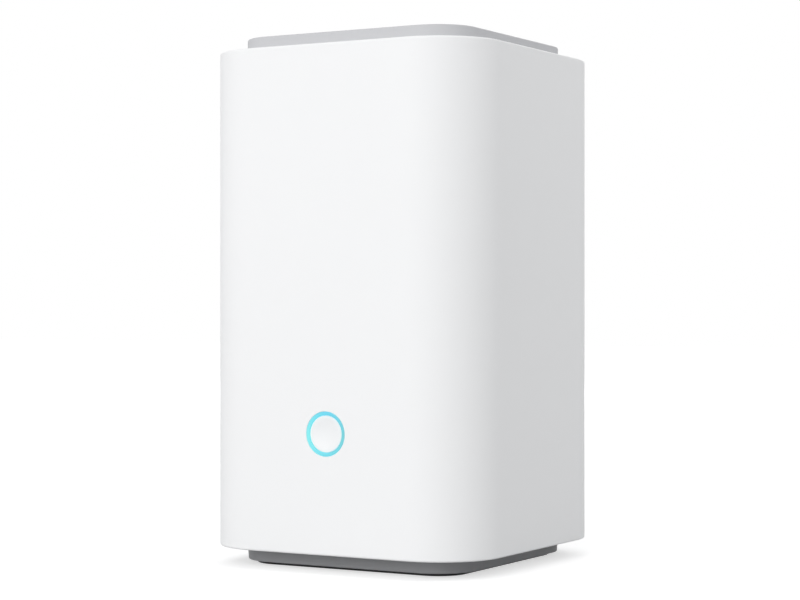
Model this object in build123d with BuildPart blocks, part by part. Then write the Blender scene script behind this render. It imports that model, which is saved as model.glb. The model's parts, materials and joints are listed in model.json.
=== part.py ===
from build123d import *
import math
import os

# Security camera base station, a free-standing box with a lit ring and a button on its front.
# Millimetres. X runs to the right seen from the front, Y to the back, Z up.
# The origin is the middle of the underside of the foot.

# Fits
cut_over = 1.0
slip_gap = 0.1
seat_gap = 0.3
shell_gap = 0.5
thread_gap = 0.05

# Casing
body_width = 95.0
corner_start_gap = 1.3
casing_lift = 5.4
casing_height = 152.2
casing_wall = 2.4
rim_round = 0.6

# Top cap
shoulder_width = 8.2
cap_corner = 12.8
cap_rise = 4.4
cap_plate = 2.2
cap_skirt = 2.0
cap_seat = 1.0
cap_edge_round = 0.5
cap_rib = 1.2
cap_rib_height = 1.0
hook_count = 4
hook_inset = 9.3
hook_width = 6.0
hook_thickness = 1.2
hook_barb = 0.8
hook_barb_height = 1.6

# Base and foot ring
foot_inset = 3.3
foot_corner = 9.2
foot_hole_corner = 3.0
foot_band = 9.0
foot_proud = 1.0
foot_groove = 1.2
plinth_taper_angle = 4.0
plinth_wall = 2.2
plinth_edge_round = 0.4
base_floor = 2.2
flange_thickness = 2.2
flange_inset = 0.6
vent_width = 2.0
vent_length = 22.0
vent_pitch = 4.5
vent_count = 7
vent_y = -6.0
label_width = 34.0
label_depth = 12.0
label_recess = 0.4
label_corner = 1.5
label_gap = 5.0
boss_radius = 4.0
panel_rib_thickness = 1.3
panel_rib_height = 4.3

# Screws: large for the housing, small for boards and the speaker
large_screw_radius = 1.3
large_head_radius = 2.5
large_head_height = 1.8
small_screw_radius = 0.95
small_head_radius = 1.8
small_head_height = 1.0
screw_drive_share = 0.5
screw_drive_depth_share = 0.5
base_screw_reach = 7.4
base_screw_gap = 1.5
casing_screw_inset = 10.3
casing_screw_gap = 1.5
casing_screw_length = 10.0

# Chassis
chassis_wall = 2.0
front_room = 14.1
chassis_front_corner = 6.0
chassis_deck_drop = 3.2
deck_thickness = 2.0
shelf_rise = 23.0
post_radius = 3.5
post_length = 11.0
chassis_boss_height = 8.0
window_width = 14.0
window_height = 22.0
window_round = 2.0
window_gap = 6.0
window_bar = 3.0
side_window_pitch = 24.0
front_window_pitch = 22.0
wire_hole_radius = 3.0
lead_notch_width = 10.0
lead_notch_depth = 3.0
shelf_vent_count = 5
shelf_vent_radius = 3.0
shelf_vent_pitch = 11.0
shelf_vent_y = -6.0

# Light ring and button
ring_z = 41.5
ring_inner_radius = 5.65
ring_band = 0.95
ring_flange_width = 1.95
ring_flange_thickness = 1.0
ring_length = 4.1
ring_edge_round = 0.15
button_recess = 0.35
button_dish = 0.55
button_edge_round = 0.25
button_length = 4.95
lug_reach = 0.85
lug_width = 2.4
lug_thickness = 1.0
lug_count = 3
post_foot_radius = 1.5
shroud_gap = 0.55
shroud_wall = 1.2

# Button board
button_boss_length = 6.1
board_thickness = 1.6
button_board_width = 30.0
button_board_height = 24.0
board_corner = 1.5
button_boss_inset = 2.8
button_boss_radius = 2.5
button_screw_length = 5.2
switch_side = 5.2
switch_height = 2.0
switch_stem_radius = 1.4
switch_stem_proud = 0.65
switch_stem_depth = 0.4
switch_pocket_depth = 0.8
led_length = 1.6
led_width = 0.8
led_height = 0.6
led_count = 8
ribbon_width = 5.6
ribbon_thickness = 0.3
ribbon_bend = 5.0
ribbon_insert = 1.5
ribbon_socket_width = 7.0
ribbon_socket_depth = 3.4
ribbon_socket_height = 1.2
ribbon_slot = 0.5
ribbon_socket_inset = 2.0

# Main board
standoff_height = 13.8
board_side_gap = 0.5
board_front_gap = 1.0
board_rear_gap = 1.6
standoff_radius = 3.0
standoff_inset = 3.5
standoff_setback = 7.3
board_screw_length = 7.0

# Processor, its heatsink and the small parts on the board
processor_side = 17.0
processor_height = 1.8
processor_x = -1.0
heatsink_gap = 7.3
pad_height = 1.0
heatsink_side = 30.0
heatsink_plate = 3.0
heatsink_fin_height = 12.0
heatsink_fin_thickness = 1.2
heatsink_fin_count = 8
heatsink_notch = 6.0
heatsink_pin_inset = 3.0
pin_shaft_radius = 0.9
pin_head_radius = 1.8
pin_head_height = 1.0
pin_tail = 1.4
memory_width = 9.0
memory_depth = 11.0
memory_height = 1.1
memory_inset = 2.0
memory_pitch = 12.0
memory_setback = 2.0
chip_side = 5.0
chip_height = 0.9
flash_side_gap = 1.1
flash_gap = 0.9
power_chip_gap = 0.6
power_chip_setback = 11.0
inductor_side = 6.0
inductor_height = 3.0
inductor_corner = 1.0
inductor_pitch = 7.0
inductor_inset = 0.8
inductor_gap = 1.9
capacitor_count = 3
capacitor_radius = 3.15
capacitor_height = 7.7
capacitor_base_height = 1.2
capacitor_side = 6.6
capacitor_inset = 1.1
capacitor_pitch = 8.0
capacitor_setback = 1.6
transformer_width = 12.0
transformer_depth = 7.0
transformer_height = 4.0
transformer_side_gap = 4.1
transformer_gap = 2.8
speaker_socket_setback = 3.5
speaker_socket_width = 5.0
speaker_socket_depth = 3.2
speaker_socket_height = 4.0
radio_width = 15.0
radio_depth = 10.0
radio_board_thickness = 0.8
radio_x = -2.0
radio_inset = 0.6
radio_shield_height = 1.8
radio_shield_margin = 0.7
radio_shield_wall = 0.3
coax_side_inset = 9.7
coax_inset = 7.4
coax_pitch = 3.6
coax_radius = 1.5
coax_height = 1.2

# Port panel and the bay that it fills
bay_corner = 3.0
bay_drop = 6.5
bay_top_gap = 4.5
panel_plate = 1.6
panel_wall = 1.4
panel_flange = 1.0
panel_set_back = 0.4
port_floor_gap = 0.1

# LAN jack
lan_gap = 1.5
lan_width = 16.0
lan_height = 13.4
lan_length = 21.3
lan_wall = 0.4
lan_mouth_width = 11.8
lan_mouth_height = 6.8
lan_mouth_rise = 3.4
lan_mouth_depth = 13.0
lan_key_width = 6.2
lan_key_height = 1.5
lan_latch_width = 3.2
lan_latch_height = 1.0
contact_count = 8
contact_pitch = 1.02
contact_width = 0.45
contact_thickness = 0.35
contact_drop = 2.0
contact_lead = 1.2

# Power jack
dc_gap = 1.3
dc_width = 9.0
dc_height = 11.0
dc_length = 12.4
dc_nose_radius = 3.9
dc_bore_radius = 2.95
dc_bore_depth = 10.5
dc_bore_rise = 6.2
dc_pin_radius = 1.0
dc_pin_length = 9.5

# Reset switch
reset_gap = 0.45
reset_width = 4.5
reset_depth = 3.6
reset_height = 3.4
reset_rise = 1.8
reset_stem_radius = 0.7
reset_stem_proud = 0.9
reset_stem_depth = 0.5
reset_pocket_depth = 1.0
reset_hole_radius = 1.0
reset_front_gap = 0.4

# Memory card slots and their cover
card_gap = 1.05
card_end_gap = 0.6
card_socket_width = 13.6
card_socket_length = 15.0
card_socket_height = 1.5
card_shell_wall = 0.3
card_tray_height = 0.4
card_slot_width = 11.8
card_slot_height = 1.3
slider_width = 1.2
slider_length = 7.0
slider_height = 0.6
card_cover_width = 14.2
card_cover_height = 8.6
card_cover_thickness = 1.4
card_cover_gap = 0.15
card_cover_corner = 1.2
card_grip_radius = 2.2
card_grip_depth = 0.5
hinge_radius = 1.1
hinge_pin_radius = 0.5
hinge_gap = 0.05
hinge_lug_height = 1.6
hinge_stand_off = 1.8

# Speaker, facing the grille at the back
box_rise = 14.2
speaker_frame_side = 50.0
speaker_frame_corner = 6.0
speaker_frame_thickness = 1.4
speaker_window_gap = 1.0
speaker_screw_inset = 3.5
speaker_screw_length = 5.0
basket_rim_inset = 4.0
basket_taper = 6.0
basket_straight = 1.6
basket_depth = 11.6
basket_wall = 1.0
basket_ledge = 1.1
basket_ledge_depth = 1.0
basket_window_width = 10.0
basket_window_depth = 6.0
basket_window_count = 4
magnet_depth = 9.0
magnet_slot_radius = 7.2
magnet_slot_width = 1.4
magnet_slot_depth = 5.0
cone_depth = 5.0
cone_wall = 0.5
coil_wall = 0.4
coil_reach = 2.5
dome_rise = 2.6
surround_wall = 0.4
surround_roll = 1.4
gasket_overlap = 0.6
gasket_inset = 1.2
box_side_room = 1.4
box_end_room = 5.8
box_depth = 28.2
box_wall = 2.0
box_corner = 4.0
baffle_thickness = 2.4
baffle_side_margin = 0.6
baffle_end_margin = 4.7
baffle_corner = 3.0
box_screw_inset = 6.4
box_screw_gap = 0.6
box_screw_length = 4.2
wire_radius = 0.45
wire_spacing = 1.2
wire_bend = 5.0
wire_rise = 7.0
wire_end_back = 5.0
wire_hole_gap = 0.4
grille_hole_radius = 0.8
grille_pitch = 4.6
grille_margin = 1.4
grille_reach = 5

# Antennas on the chassis's side walls
antenna_width = 12.0
antenna_height = 36.0
antenna_thickness = 0.8
antenna_drop = 10.0
antenna_front_gap = 0.4
antenna_rear_gap = 7.3
lead_radius = 0.55
lead_bend = 3.0
lead_wall_gap = 0.45
lead_turn_rise = 7.0

# Heights worked out from the sizes above
casing_top = casing_lift + casing_height
ceiling = casing_top - casing_wall
flange_bottom = casing_lift + flange_inset
base_top = flange_bottom + flange_thickness
groove_top = foot_proud + foot_groove
floor_top = groove_top + base_floor
middle_floor_top = foot_proud + base_floor
cap_floor = casing_top - cap_seat
cap_top = casing_top + cap_rise
cap_underside = cap_top - cap_plate
deck_top = ceiling - chassis_deck_drop
deck_bottom = deck_top - deck_thickness
main_board_z = middle_floor_top + standoff_height
board_top = main_board_z + board_thickness
shelf_height = main_board_z + shelf_rise
shelf_top = shelf_height + deck_thickness
bay_bottom = main_board_z - bay_drop
bay_height = bay_drop + board_thickness + lan_height + bay_top_gap
bay_z = bay_bottom + bay_height / 2

# The bay is as wide as the sockets side by side, and the body's corners start beside it
bay_lining = seat_gap + panel_wall
bay_width = (
    2 * bay_lining + dc_gap + dc_width + lan_gap + lan_width + reset_gap + reset_width
    + card_gap + card_cover_width + card_end_gap
)
dc_x = -bay_width / 2 + bay_lining + dc_gap + dc_width / 2
lan_x = dc_x + dc_width / 2 + lan_gap + lan_width / 2
reset_x = lan_x + lan_width / 2 + reset_gap + reset_width / 2
card_x = reset_x + reset_width / 2 + card_gap + card_cover_width / 2
half_width = body_width / 2
body_corner = half_width - bay_width / 2 - corner_start_gap

# Walls, from the casing inwards
inside = half_width - casing_wall
chassis_half = inside - shell_gap
chassis_corner = body_corner - casing_wall - shell_gap
chassis_inner = chassis_half - chassis_wall
chassis_front = inside - front_room
chassis_front_inner = chassis_front - chassis_wall
button_board_front = inside - button_boss_length
button_board_back = -button_board_front + board_thickness
panel_face = chassis_inner
panel_back = panel_face - panel_plate

# Cap, foot and the screws under them
cap_width = body_width - 2 * shoulder_width
hook_place = cap_width / 2 - hook_inset
foot_width = cap_width - 2 * foot_inset
casing_screw_x = cap_width / 2 - casing_screw_inset
casing_screw_rear = casing_screw_x
casing_screw_front = chassis_front_inner - post_radius - casing_screw_gap
base_screw_x = foot_width / 2 - foot_band / 2
base_screw_front = chassis_front_inner - post_radius
base_screw_rear = panel_back - card_socket_length - post_radius - base_screw_gap

# Main board and what is placed from its edges
main_board_front = chassis_front_inner - board_front_gap
main_board_rear = panel_back - board_rear_gap
board_half = base_screw_x - boss_radius - board_side_gap
standoff_x = board_half - standoff_inset
standoff_front = main_board_front - standoff_inset
lan_front = panel_face - lan_length
dc_front = panel_back - slip_gap - dc_length
card_end = panel_back - slip_gap - card_socket_length
standoff_rear = lan_front - standoff_setback
processor_y = lan_front - heatsink_gap - heatsink_side / 2
memory_x = board_half - memory_inset - memory_width / 2
memory_y = processor_y - memory_setback
capacitor_y = processor_y - capacitor_setback
power_chip_x = lan_x + lan_width / 2 + power_chip_gap + chip_side / 2
power_chip_y = panel_back - power_chip_setback
inductor_x = board_half - inductor_inset - (inductor_side + inductor_pitch) / 2
inductor_y = dc_front - inductor_gap - inductor_side / 2
flash_x = lan_x - lan_width / 2 - flash_side_gap
flash_y = inductor_y - inductor_side / 2 - flash_gap - chip_side / 2
capacitor_x = board_half - capacitor_inset - capacitor_side / 2
transformer_x = lan_x + lan_width / 2 + transformer_side_gap + transformer_width / 2
transformer_y = card_end - transformer_gap - transformer_depth / 2
speaker_socket_x = lan_x
speaker_socket_y = lan_front - speaker_socket_setback
radio_y = radio_inset + radio_depth / 2 - main_board_front
coax_x = board_half - coax_side_inset
coax_front = main_board_front - coax_inset

# Windows that lighten the chassis, below and above its shelf
lower_window_z = (base_top + shelf_height) / 2
middle_window_z = shelf_top + window_gap + window_height / 2
upper_window_z = middle_window_z + window_height + window_bar
window_z = (lower_window_z, middle_window_z, upper_window_z)
window_y = (-side_window_pitch / 2, side_window_pitch / 2)
window_x = (-front_window_pitch / 2, front_window_pitch / 2)

# Ring, button and what stands behind them
ring_outer_radius = ring_inner_radius + ring_band
ring_flange_radius = ring_outer_radius + ring_flange_width
shroud_inner_radius = ring_outer_radius + shroud_gap
shroud_outer_radius = shroud_inner_radius + shroud_wall
lug_radius = ring_inner_radius + lug_reach
led_radius = ring_inner_radius + ring_band / 2
button_boss_x = button_board_width / 2 - button_boss_inset
upper_socket_z = ring_z - button_board_height / 2 + ribbon_socket_inset + ribbon_socket_depth / 2
ribbon_x = front_window_pitch / 2

# Speaker, its box and baffle, worked out from the frame
frame_half = speaker_frame_side / 2
speaker_screw_place = frame_half - speaker_screw_inset
basket_rim_radius = frame_half - basket_rim_inset
basket_back_radius = basket_rim_radius - basket_taper
gasket_inner_radius = basket_rim_radius - gasket_overlap
gasket_outer_radius = frame_half - gasket_inset
grille_field_radius = gasket_inner_radius - grille_margin
box_half_width = frame_half + box_side_room
box_half_height = frame_half + box_end_room
baffle_half_width = box_half_width + baffle_side_margin
baffle_half_height = box_half_height + baffle_end_margin
box_screw_x = box_half_width - box_screw_inset
box_screw_rise = box_half_height + small_head_radius + box_screw_gap
speaker_z = shelf_top + box_rise + box_half_height

# Antennas and their leads
antenna_bottom = deck_bottom - antenna_drop - antenna_height
antenna_front_y = antenna_front_gap + chassis_front_corner + antenna_width / 2 - chassis_front
antenna_rear_y = chassis_half - chassis_corner - antenna_rear_gap - antenna_width / 2
lead_turn_z = shelf_top + lead_turn_rise

casing_screw_places = [
    (-casing_screw_x, -casing_screw_front),
    (casing_screw_x, -casing_screw_front),
    (-casing_screw_x, casing_screw_rear),
    (casing_screw_x, casing_screw_rear),
]
base_screw_places = [
    (-base_screw_x, -base_screw_front),
    (base_screw_x, -base_screw_front),
    (-base_screw_x, base_screw_rear),
    (base_screw_x, base_screw_rear),
]
standoff_places = [
    (-standoff_x, -standoff_front),
    (standoff_x, -standoff_front),
    (-standoff_x, standoff_rear),
    (standoff_x, standoff_rear),
]


def level(z):
    """A sketch plane lying at height z, facing up."""
    return Plane.XY.offset(z)


def upright(y, z=0.0):
    """A sketch plane standing at depth y, drawn as seen from the front, facing the front."""
    return Plane(origin=(0, y, z), x_dir=(1, 0, 0), z_dir=(0, -1, 0))


def slab(plane, width, height, thickness, corner=0.0, at=((0, 0),), mode=Mode.ADD):
    """Rectangles, rounded if a corner is given, drawn on a plane and made thick."""
    with BuildSketch(plane) as drawn:
        with Locations(*at):
            if corner > 0:
                RectangleRounded(width, height, corner)
            else:
                Rectangle(width, height)
    extrude(drawn.sketch, amount=thickness, mode=mode)


def disc(plane, radius, thickness, at=((0, 0),), mode=Mode.ADD):
    """Round bars or holes drawn on a plane and made thick."""
    with BuildSketch(plane) as drawn:
        with Locations(*at):
            Circle(radius)
    extrude(drawn.sketch, amount=thickness, mode=mode)


def turn_about_depth(z, points, mode=Mode.ADD):
    """A closed outline of (radius, y) points turned about the line along Y at height z."""
    with BuildSketch(level(z)) as drawn:
        with BuildLine():
            Polyline(*points, close=True)
        make_face()
    revolve(drawn.sketch, axis=Axis((0, 0, z), (0, 1, 0)), mode=mode)


def screw(radius, length, head_radius, head_height):
    """A cheese-head screw on the Z axis, its head above zero and its shank below."""
    with BuildPart() as made:
        disc(level(0), head_radius, head_height)
        disc(level(-length), radius, length)
        with BuildSketch(level(head_height)) as drive:
            RegularPolygon(head_radius * screw_drive_share, 6)
        extrude(drive.sketch, amount=-head_height * screw_drive_depth_share, mode=Mode.SUBTRACT)
    return made.part


def save(part, name):
    """Label a finished piece and write it to its own file."""
    part.label = name
    export_step(part, "parts/" + name + ".step")


os.makedirs("parts", exist_ok=True)

# Casing: a moulded sleeve closed on top, open at the bottom
with BuildPart() as casing:
    slab(level(casing_lift), body_width, body_width, casing_height, body_corner)
    fillet(casing.faces().sort_by(Axis.Z)[-1].edges(), rim_round)
    fillet(casing.faces().sort_by(Axis.Z)[0].edges(), rim_round)
    inner_width = body_width - 2 * casing_wall
    slab(
        level(casing_lift),
        inner_width,
        inner_width,
        casing_height - casing_wall,
        body_corner - casing_wall,
        mode=Mode.SUBTRACT,
    )
    # Seat for the cap's skirt, holes for the screws under the cap, and slots for its hooks
    with BuildSketch(level(cap_floor)) as seat:
        seat_outer = cap_width + 2 * slip_gap
        seat_inner = cap_width - 2 * cap_skirt - 2 * slip_gap
        RectangleRounded(seat_outer, seat_outer, cap_corner + slip_gap)
        RectangleRounded(seat_inner, seat_inner, cap_corner - cap_skirt - slip_gap, mode=Mode.SUBTRACT)
    extrude(seat.sketch, amount=cap_seat, mode=Mode.SUBTRACT)
    disc(level(ceiling), large_screw_radius + slip_gap, casing_wall, casing_screw_places, Mode.SUBTRACT)
    slot_length = hook_width + 2 * seat_gap
    slot_breadth = hook_thickness + hook_barb + 2 * seat_gap
    side_slots = [(-hook_place, 0), (hook_place, 0)]
    end_slots = [(0, -hook_place), (0, hook_place)]
    slab(level(ceiling), slot_breadth, slot_length, casing_wall, 0.0, side_slots, Mode.SUBTRACT)
    slab(level(ceiling), slot_length, slot_breadth, casing_wall, 0.0, end_slots, Mode.SUBTRACT)
    # Round hole for the light ring, and two bosses behind it for the button board
    disc(upright(-inside), ring_outer_radius + slip_gap, casing_wall, [(0, ring_z)], Mode.SUBTRACT)
    button_bosses = [(-button_boss_x, ring_z), (button_boss_x, ring_z)]
    boss_length = inside - button_board_front
    disc(upright(-button_board_front), button_boss_radius, boss_length, button_bosses)
    pilot = small_screw_radius + thread_gap
    disc(upright(-button_board_front), pilot, boss_length, button_bosses, Mode.SUBTRACT)
    # Port bay at the back, and the speaker's grille above it
    slab(upright(half_width), bay_width, bay_height, casing_wall, bay_corner, [(0, bay_z)], Mode.SUBTRACT)
    steps = range(-grille_reach, grille_reach + 1)
    column_pitch = grille_pitch * math.sqrt(3) / 2
    grid = [(i * column_pitch, (j + (i % 2) / 2) * grille_pitch) for i in steps for j in steps]
    grille_places = [place for place in grid if math.hypot(*place) <= grille_field_radius]
    disc(upright(half_width, speaker_z), grille_hole_radius, casing_wall, grille_places, Mode.SUBTRACT)
save(casing.part, "casing")

# Top cap: a shallow lid with cross ribs and four snap hooks
with BuildPart() as top_cap:
    slab(level(cap_floor), cap_width, cap_width, cap_top - cap_floor, cap_corner)
    fillet(top_cap.faces().sort_by(Axis.Z)[-1].edges(), cap_edge_round)
    hollow_width = cap_width - 2 * cap_skirt
    slab(
        level(cap_floor),
        hollow_width,
        hollow_width,
        cap_underside - cap_floor,
        cap_corner - cap_skirt,
        mode=Mode.SUBTRACT,
    )
    slab(level(cap_underside), hollow_width, cap_rib, -cap_rib_height)
    slab(level(cap_underside), cap_rib, hollow_width, -cap_rib_height)
    with BuildSketch(Plane.XZ) as hook:
        with BuildLine():
            barb_root = ceiling - slip_gap
            Polyline(
                (hook_place - hook_thickness / 2, cap_underside),
                (hook_place + hook_thickness / 2, cap_underside),
                (hook_place + hook_thickness / 2, barb_root),
                (hook_place + hook_thickness / 2 + hook_barb, barb_root),
                (hook_place + hook_thickness / 2, barb_root - hook_barb_height),
                (hook_place - hook_thickness / 2, barb_root - hook_barb_height),
                close=True,
            )
        make_face()
    with PolarLocations(0, hook_count):
        extrude(hook.sketch, amount=hook_width / 2, both=True)
save(top_cap.part, "top_cap")

with BuildPart() as casing_screws:
    with Locations(*[(x, y, casing_top) for x, y in casing_screw_places]):
        add(screw(large_screw_radius, casing_screw_length, large_head_radius, large_head_height))
save(casing_screws.part, "casing_screws")

# Base: an inset plinth with a flange that closes the casing
with BuildPart() as base:
    plinth_width = cap_width
    flange_width = 2 * (inside - seat_gap)
    flange_corner = body_corner - casing_wall - seat_gap
    with BuildSketch(level(flange_bottom)) as plinth:
        RectangleRounded(plinth_width, plinth_width, cap_corner)
    extrude(plinth.sketch, amount=-(flange_bottom - foot_proud), taper=plinth_taper_angle)
    fillet(base.faces().sort_by(Axis.Z)[0].edges(), plinth_edge_round)
    slab(level(flange_bottom), flange_width, flange_width, flange_thickness, flange_corner)
    pan_width = plinth_width - 2 * plinth_wall
    slab(
        level(floor_top),
        pan_width,
        pan_width,
        base_top - floor_top,
        cap_corner - plinth_wall,
        mode=Mode.SUBTRACT,
    )
    middle_width = foot_width - 2 * foot_band - 2 * plinth_wall
    slab(
        level(middle_floor_top),
        middle_width,
        middle_width,
        floor_top - middle_floor_top,
        foot_corner - plinth_wall,
        mode=Mode.SUBTRACT,
    )
    # Groove for the foot ring
    with BuildSketch(level(foot_proud)) as groove:
        groove_outer = foot_width + 2 * slip_gap
        groove_inner = foot_width - 2 * foot_band - 2 * slip_gap
        RectangleRounded(groove_outer, groove_outer, foot_corner + slip_gap)
        RectangleRounded(groove_inner, groove_inner, foot_hole_corner, mode=Mode.SUBTRACT)
    extrude(groove.sketch, amount=foot_groove, mode=Mode.SUBTRACT)
    # Vent slots under the board, and a bare recess where a label would go
    vent_places = [((i - (vent_count - 1) / 2) * vent_pitch, vent_y) for i in range(vent_count)]
    with BuildSketch(level(foot_proud)) as vents:
        with Locations(*vent_places):
            SlotOverall(vent_length, vent_width, rotation=90)
    extrude(vents.sketch, amount=base_floor, mode=Mode.SUBTRACT)
    label_y = vent_y + vent_length / 2 + label_gap + label_depth / 2
    slab(
        level(foot_proud),
        label_width,
        label_depth,
        label_recess,
        label_corner,
        [(0, label_y)],
        Mode.SUBTRACT,
    )
    # Bosses for the screws hidden by the foot ring
    disc(level(floor_top), boss_radius, base_top - floor_top, base_screw_places)
    screw_seat = groove_top + seat_gap + large_head_height
    disc(level(groove_top), large_screw_radius + slip_gap, base_top - groove_top, base_screw_places,
         Mode.SUBTRACT)
    disc(level(groove_top), large_head_radius + slip_gap, screw_seat - groove_top, base_screw_places,
         Mode.SUBTRACT)
    # Standoffs for the main board, and the rib that holds the port panel's lower edge
    disc(level(middle_floor_top), standoff_radius, main_board_z - middle_floor_top, standoff_places)
    disc(level(floor_top), small_screw_radius + thread_gap, main_board_z - floor_top, standoff_places,
         Mode.SUBTRACT)
    rib_y = panel_face - panel_plate - port_floor_gap - panel_rib_thickness / 2
    slab(level(base_top), bay_width - 2 * bay_corner, panel_rib_thickness, panel_rib_height, 0.0,
         [(0, rib_y)])
save(base.part, "base")

with BuildPart() as foot_ring:
    with BuildSketch() as ring_outline:
        RectangleRounded(foot_width, foot_width, foot_corner)
        ring_hole = foot_width - 2 * foot_band
        RectangleRounded(ring_hole, ring_hole, foot_hole_corner, mode=Mode.SUBTRACT)
    extrude(ring_outline.sketch, amount=groove_top)
save(foot_ring.part, "foot_ring")

with BuildPart() as base_screws:
    with Locations(*[Location((x, y, screw_seat), (180, 0, 0)) for x, y in base_screw_places]):
        add(screw(large_screw_radius, base_screw_reach + base_top - screw_seat, large_head_radius,
                  large_head_height))
save(base_screws.part, "base_screws")


def chassis_outline(plane, inset):
    """The chassis's plan: wide round corners at the back, small ones at the front."""
    with BuildSketch(plane) as drawn:
        with Locations((0, (chassis_half - chassis_front) / 2)):
            Rectangle(2 * (chassis_half - inset), chassis_half + chassis_front - 2 * inset)
        fillet(drawn.vertices().group_by(Axis.Y)[-1], chassis_corner - inset)
        fillet(drawn.vertices().group_by(Axis.Y)[0], chassis_front_corner - inset)
    return drawn.sketch


# Chassis: a tube with a shelf and a deck, which the casing and the base are screwed to
with BuildPart() as chassis:
    extrude(chassis_outline(level(base_top), 0), amount=deck_top - base_top)
    extrude(chassis_outline(level(base_top), chassis_wall), amount=shelf_height - base_top,
            mode=Mode.SUBTRACT)
    extrude(chassis_outline(level(shelf_top), chassis_wall), amount=deck_bottom - shelf_top,
            mode=Mode.SUBTRACT)
    # Posts under the casing's screws
    disc(level(ceiling - post_length), post_radius, post_length, casing_screw_places)
    post_hole = casing_screw_length - casing_wall + seat_gap
    disc(level(ceiling - post_hole), large_screw_radius + thread_gap, post_hole, casing_screw_places,
         Mode.SUBTRACT)
    # Bosses over the base's screws, each tied to the nearest side wall by a web
    disc(level(base_top), post_radius, chassis_boss_height, base_screw_places)
    web_length = chassis_half - chassis_wall / 2 - base_screw_x
    web_x = base_screw_x + web_length / 2
    web_places = [(math.copysign(web_x, x), y) for x, y in base_screw_places]
    slab(level(base_top), web_length, chassis_wall, chassis_boss_height, 0.0, web_places)
    disc(level(base_top), large_screw_radius + thread_gap, chassis_boss_height, base_screw_places,
         Mode.SUBTRACT)
    # Windows: the port bay and the speaker at the back, lightening windows elsewhere
    rear_cut = chassis_wall + cut_over
    slab(upright(chassis_half), bay_width, bay_height, rear_cut, bay_corner, [(0, bay_z)], Mode.SUBTRACT)
    speaker_window = speaker_frame_side + 2 * speaker_window_gap
    speaker_window_corner = speaker_frame_corner + speaker_window_gap
    slab(upright(chassis_half, speaker_z), speaker_window, speaker_window, rear_cut,
         speaker_window_corner, mode=Mode.SUBTRACT)
    side_places = [(y, z) for y in window_y for z in window_z]
    slab(Plane.YZ.offset(-chassis_half), window_width, window_height, 2 * chassis_half, window_round,
         side_places, Mode.SUBTRACT)
    front_places = [(x, z) for x in window_x for z in window_z]
    slab(upright(2 * chassis_wall - chassis_front), window_width, window_height, 3 * chassis_wall,
         window_round, front_places, Mode.SUBTRACT)
    # Holes for the speaker box's screws, the speaker's wires, the air and the antenna leads
    box_screw_places = [(sx * box_screw_x, sz * box_screw_rise) for sx in (-1, 1) for sz in (-1, 1)]
    disc(upright(chassis_half, speaker_z), small_screw_radius + thread_gap, rear_cut, box_screw_places,
         Mode.SUBTRACT)
    disc(level(shelf_height), wire_hole_radius, deck_thickness, [(speaker_socket_x, speaker_socket_y)],
         Mode.SUBTRACT)
    vent_row = [i - (shelf_vent_count - 1) / 2 for i in range(shelf_vent_count)]
    shelf_vent_places = [(i * shelf_vent_pitch, shelf_vent_y) for i in vent_row]
    disc(level(shelf_height), shelf_vent_radius, deck_thickness, shelf_vent_places, Mode.SUBTRACT)
    lead_y = -coax_front + coax_pitch / 2
    notch_x = chassis_inner - lead_notch_depth / 2
    slab(level(shelf_height), lead_notch_depth, lead_notch_width, deck_thickness, 0.0,
         [(-notch_x, lead_y), (notch_x, lead_y)], Mode.SUBTRACT)
save(chassis.part, "chassis")

# Light ring: a clear ring, flush with the front, with a flange glued behind the wall
with BuildPart() as light_ring:
    ring_front = -half_width
    ring_back = ring_front + ring_length
    flange_back = ring_flange_thickness - inside
    turn_about_depth(ring_z, [
        (ring_inner_radius, ring_front),
        (ring_outer_radius, ring_front),
        (ring_outer_radius, -inside),
        (ring_flange_radius, -inside),
        (ring_flange_radius, flange_back),
        (ring_outer_radius, flange_back),
        (ring_outer_radius, ring_back),
        (ring_inner_radius, ring_back),
    ])
    fillet(light_ring.faces().sort_by(Axis.Y)[0].edges(), ring_edge_round)
save(light_ring.part, "light_ring")

# Button: a dished disc with three lugs behind the ring and a post on the switch
with BuildPart() as front_button:
    button_front = ring_front + button_recess
    button_back = button_front + button_length
    button_radius = ring_inner_radius - slip_gap
    dish_radius = button_radius - 2 * button_edge_round
    stem_front = -button_board_front - switch_height - switch_stem_proud
    with BuildSketch(level(ring_z)) as button_side:
        with BuildLine():
            ThreePointArc(
                (-dish_radius, button_front),
                (0, button_front + button_dish),
                (dish_radius, button_front),
            )
            Polyline(
                (dish_radius, button_front),
                (button_radius, button_front),
                (button_radius, button_back),
                (-button_radius, button_back),
                (-button_radius, button_front),
                (-dish_radius, button_front),
            )
        make_face()
        with Locations((-button_radius, (button_front + button_back) / 2)):
            Rectangle(2 * button_radius, 2 * button_length, mode=Mode.SUBTRACT)
    revolve(button_side.sketch, axis=Axis((0, 0, ring_z), (0, 1, 0)))
    fillet(front_button.edges().filter_by(GeomType.CIRCLE).group_by(Axis.Y)[0].sort_by(SortBy.RADIUS)[-1],
           button_edge_round)
    with BuildSketch(upright(button_back, ring_z)) as lugs:
        with PolarLocations(lug_radius / 2, lug_count, start_angle=90):
            Rectangle(lug_radius, lug_width)
    extrude(lugs.sketch, amount=lug_thickness)
    disc(upright(stem_front - thread_gap, ring_z), post_foot_radius, stem_front - thread_gap - button_back)
save(front_button.part, "front_button")

# Shroud that keeps the lamps' light in the ring
with BuildPart() as light_shroud:
    shroud_length = -flange_back - button_board_front - slip_gap
    with BuildSketch(upright(-button_board_front, ring_z)) as shroud:
        Circle(shroud_outer_radius)
        Circle(shroud_inner_radius, mode=Mode.SUBTRACT)
    extrude(shroud.sketch, amount=shroud_length)
save(light_shroud.part, "light_shroud")

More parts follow.
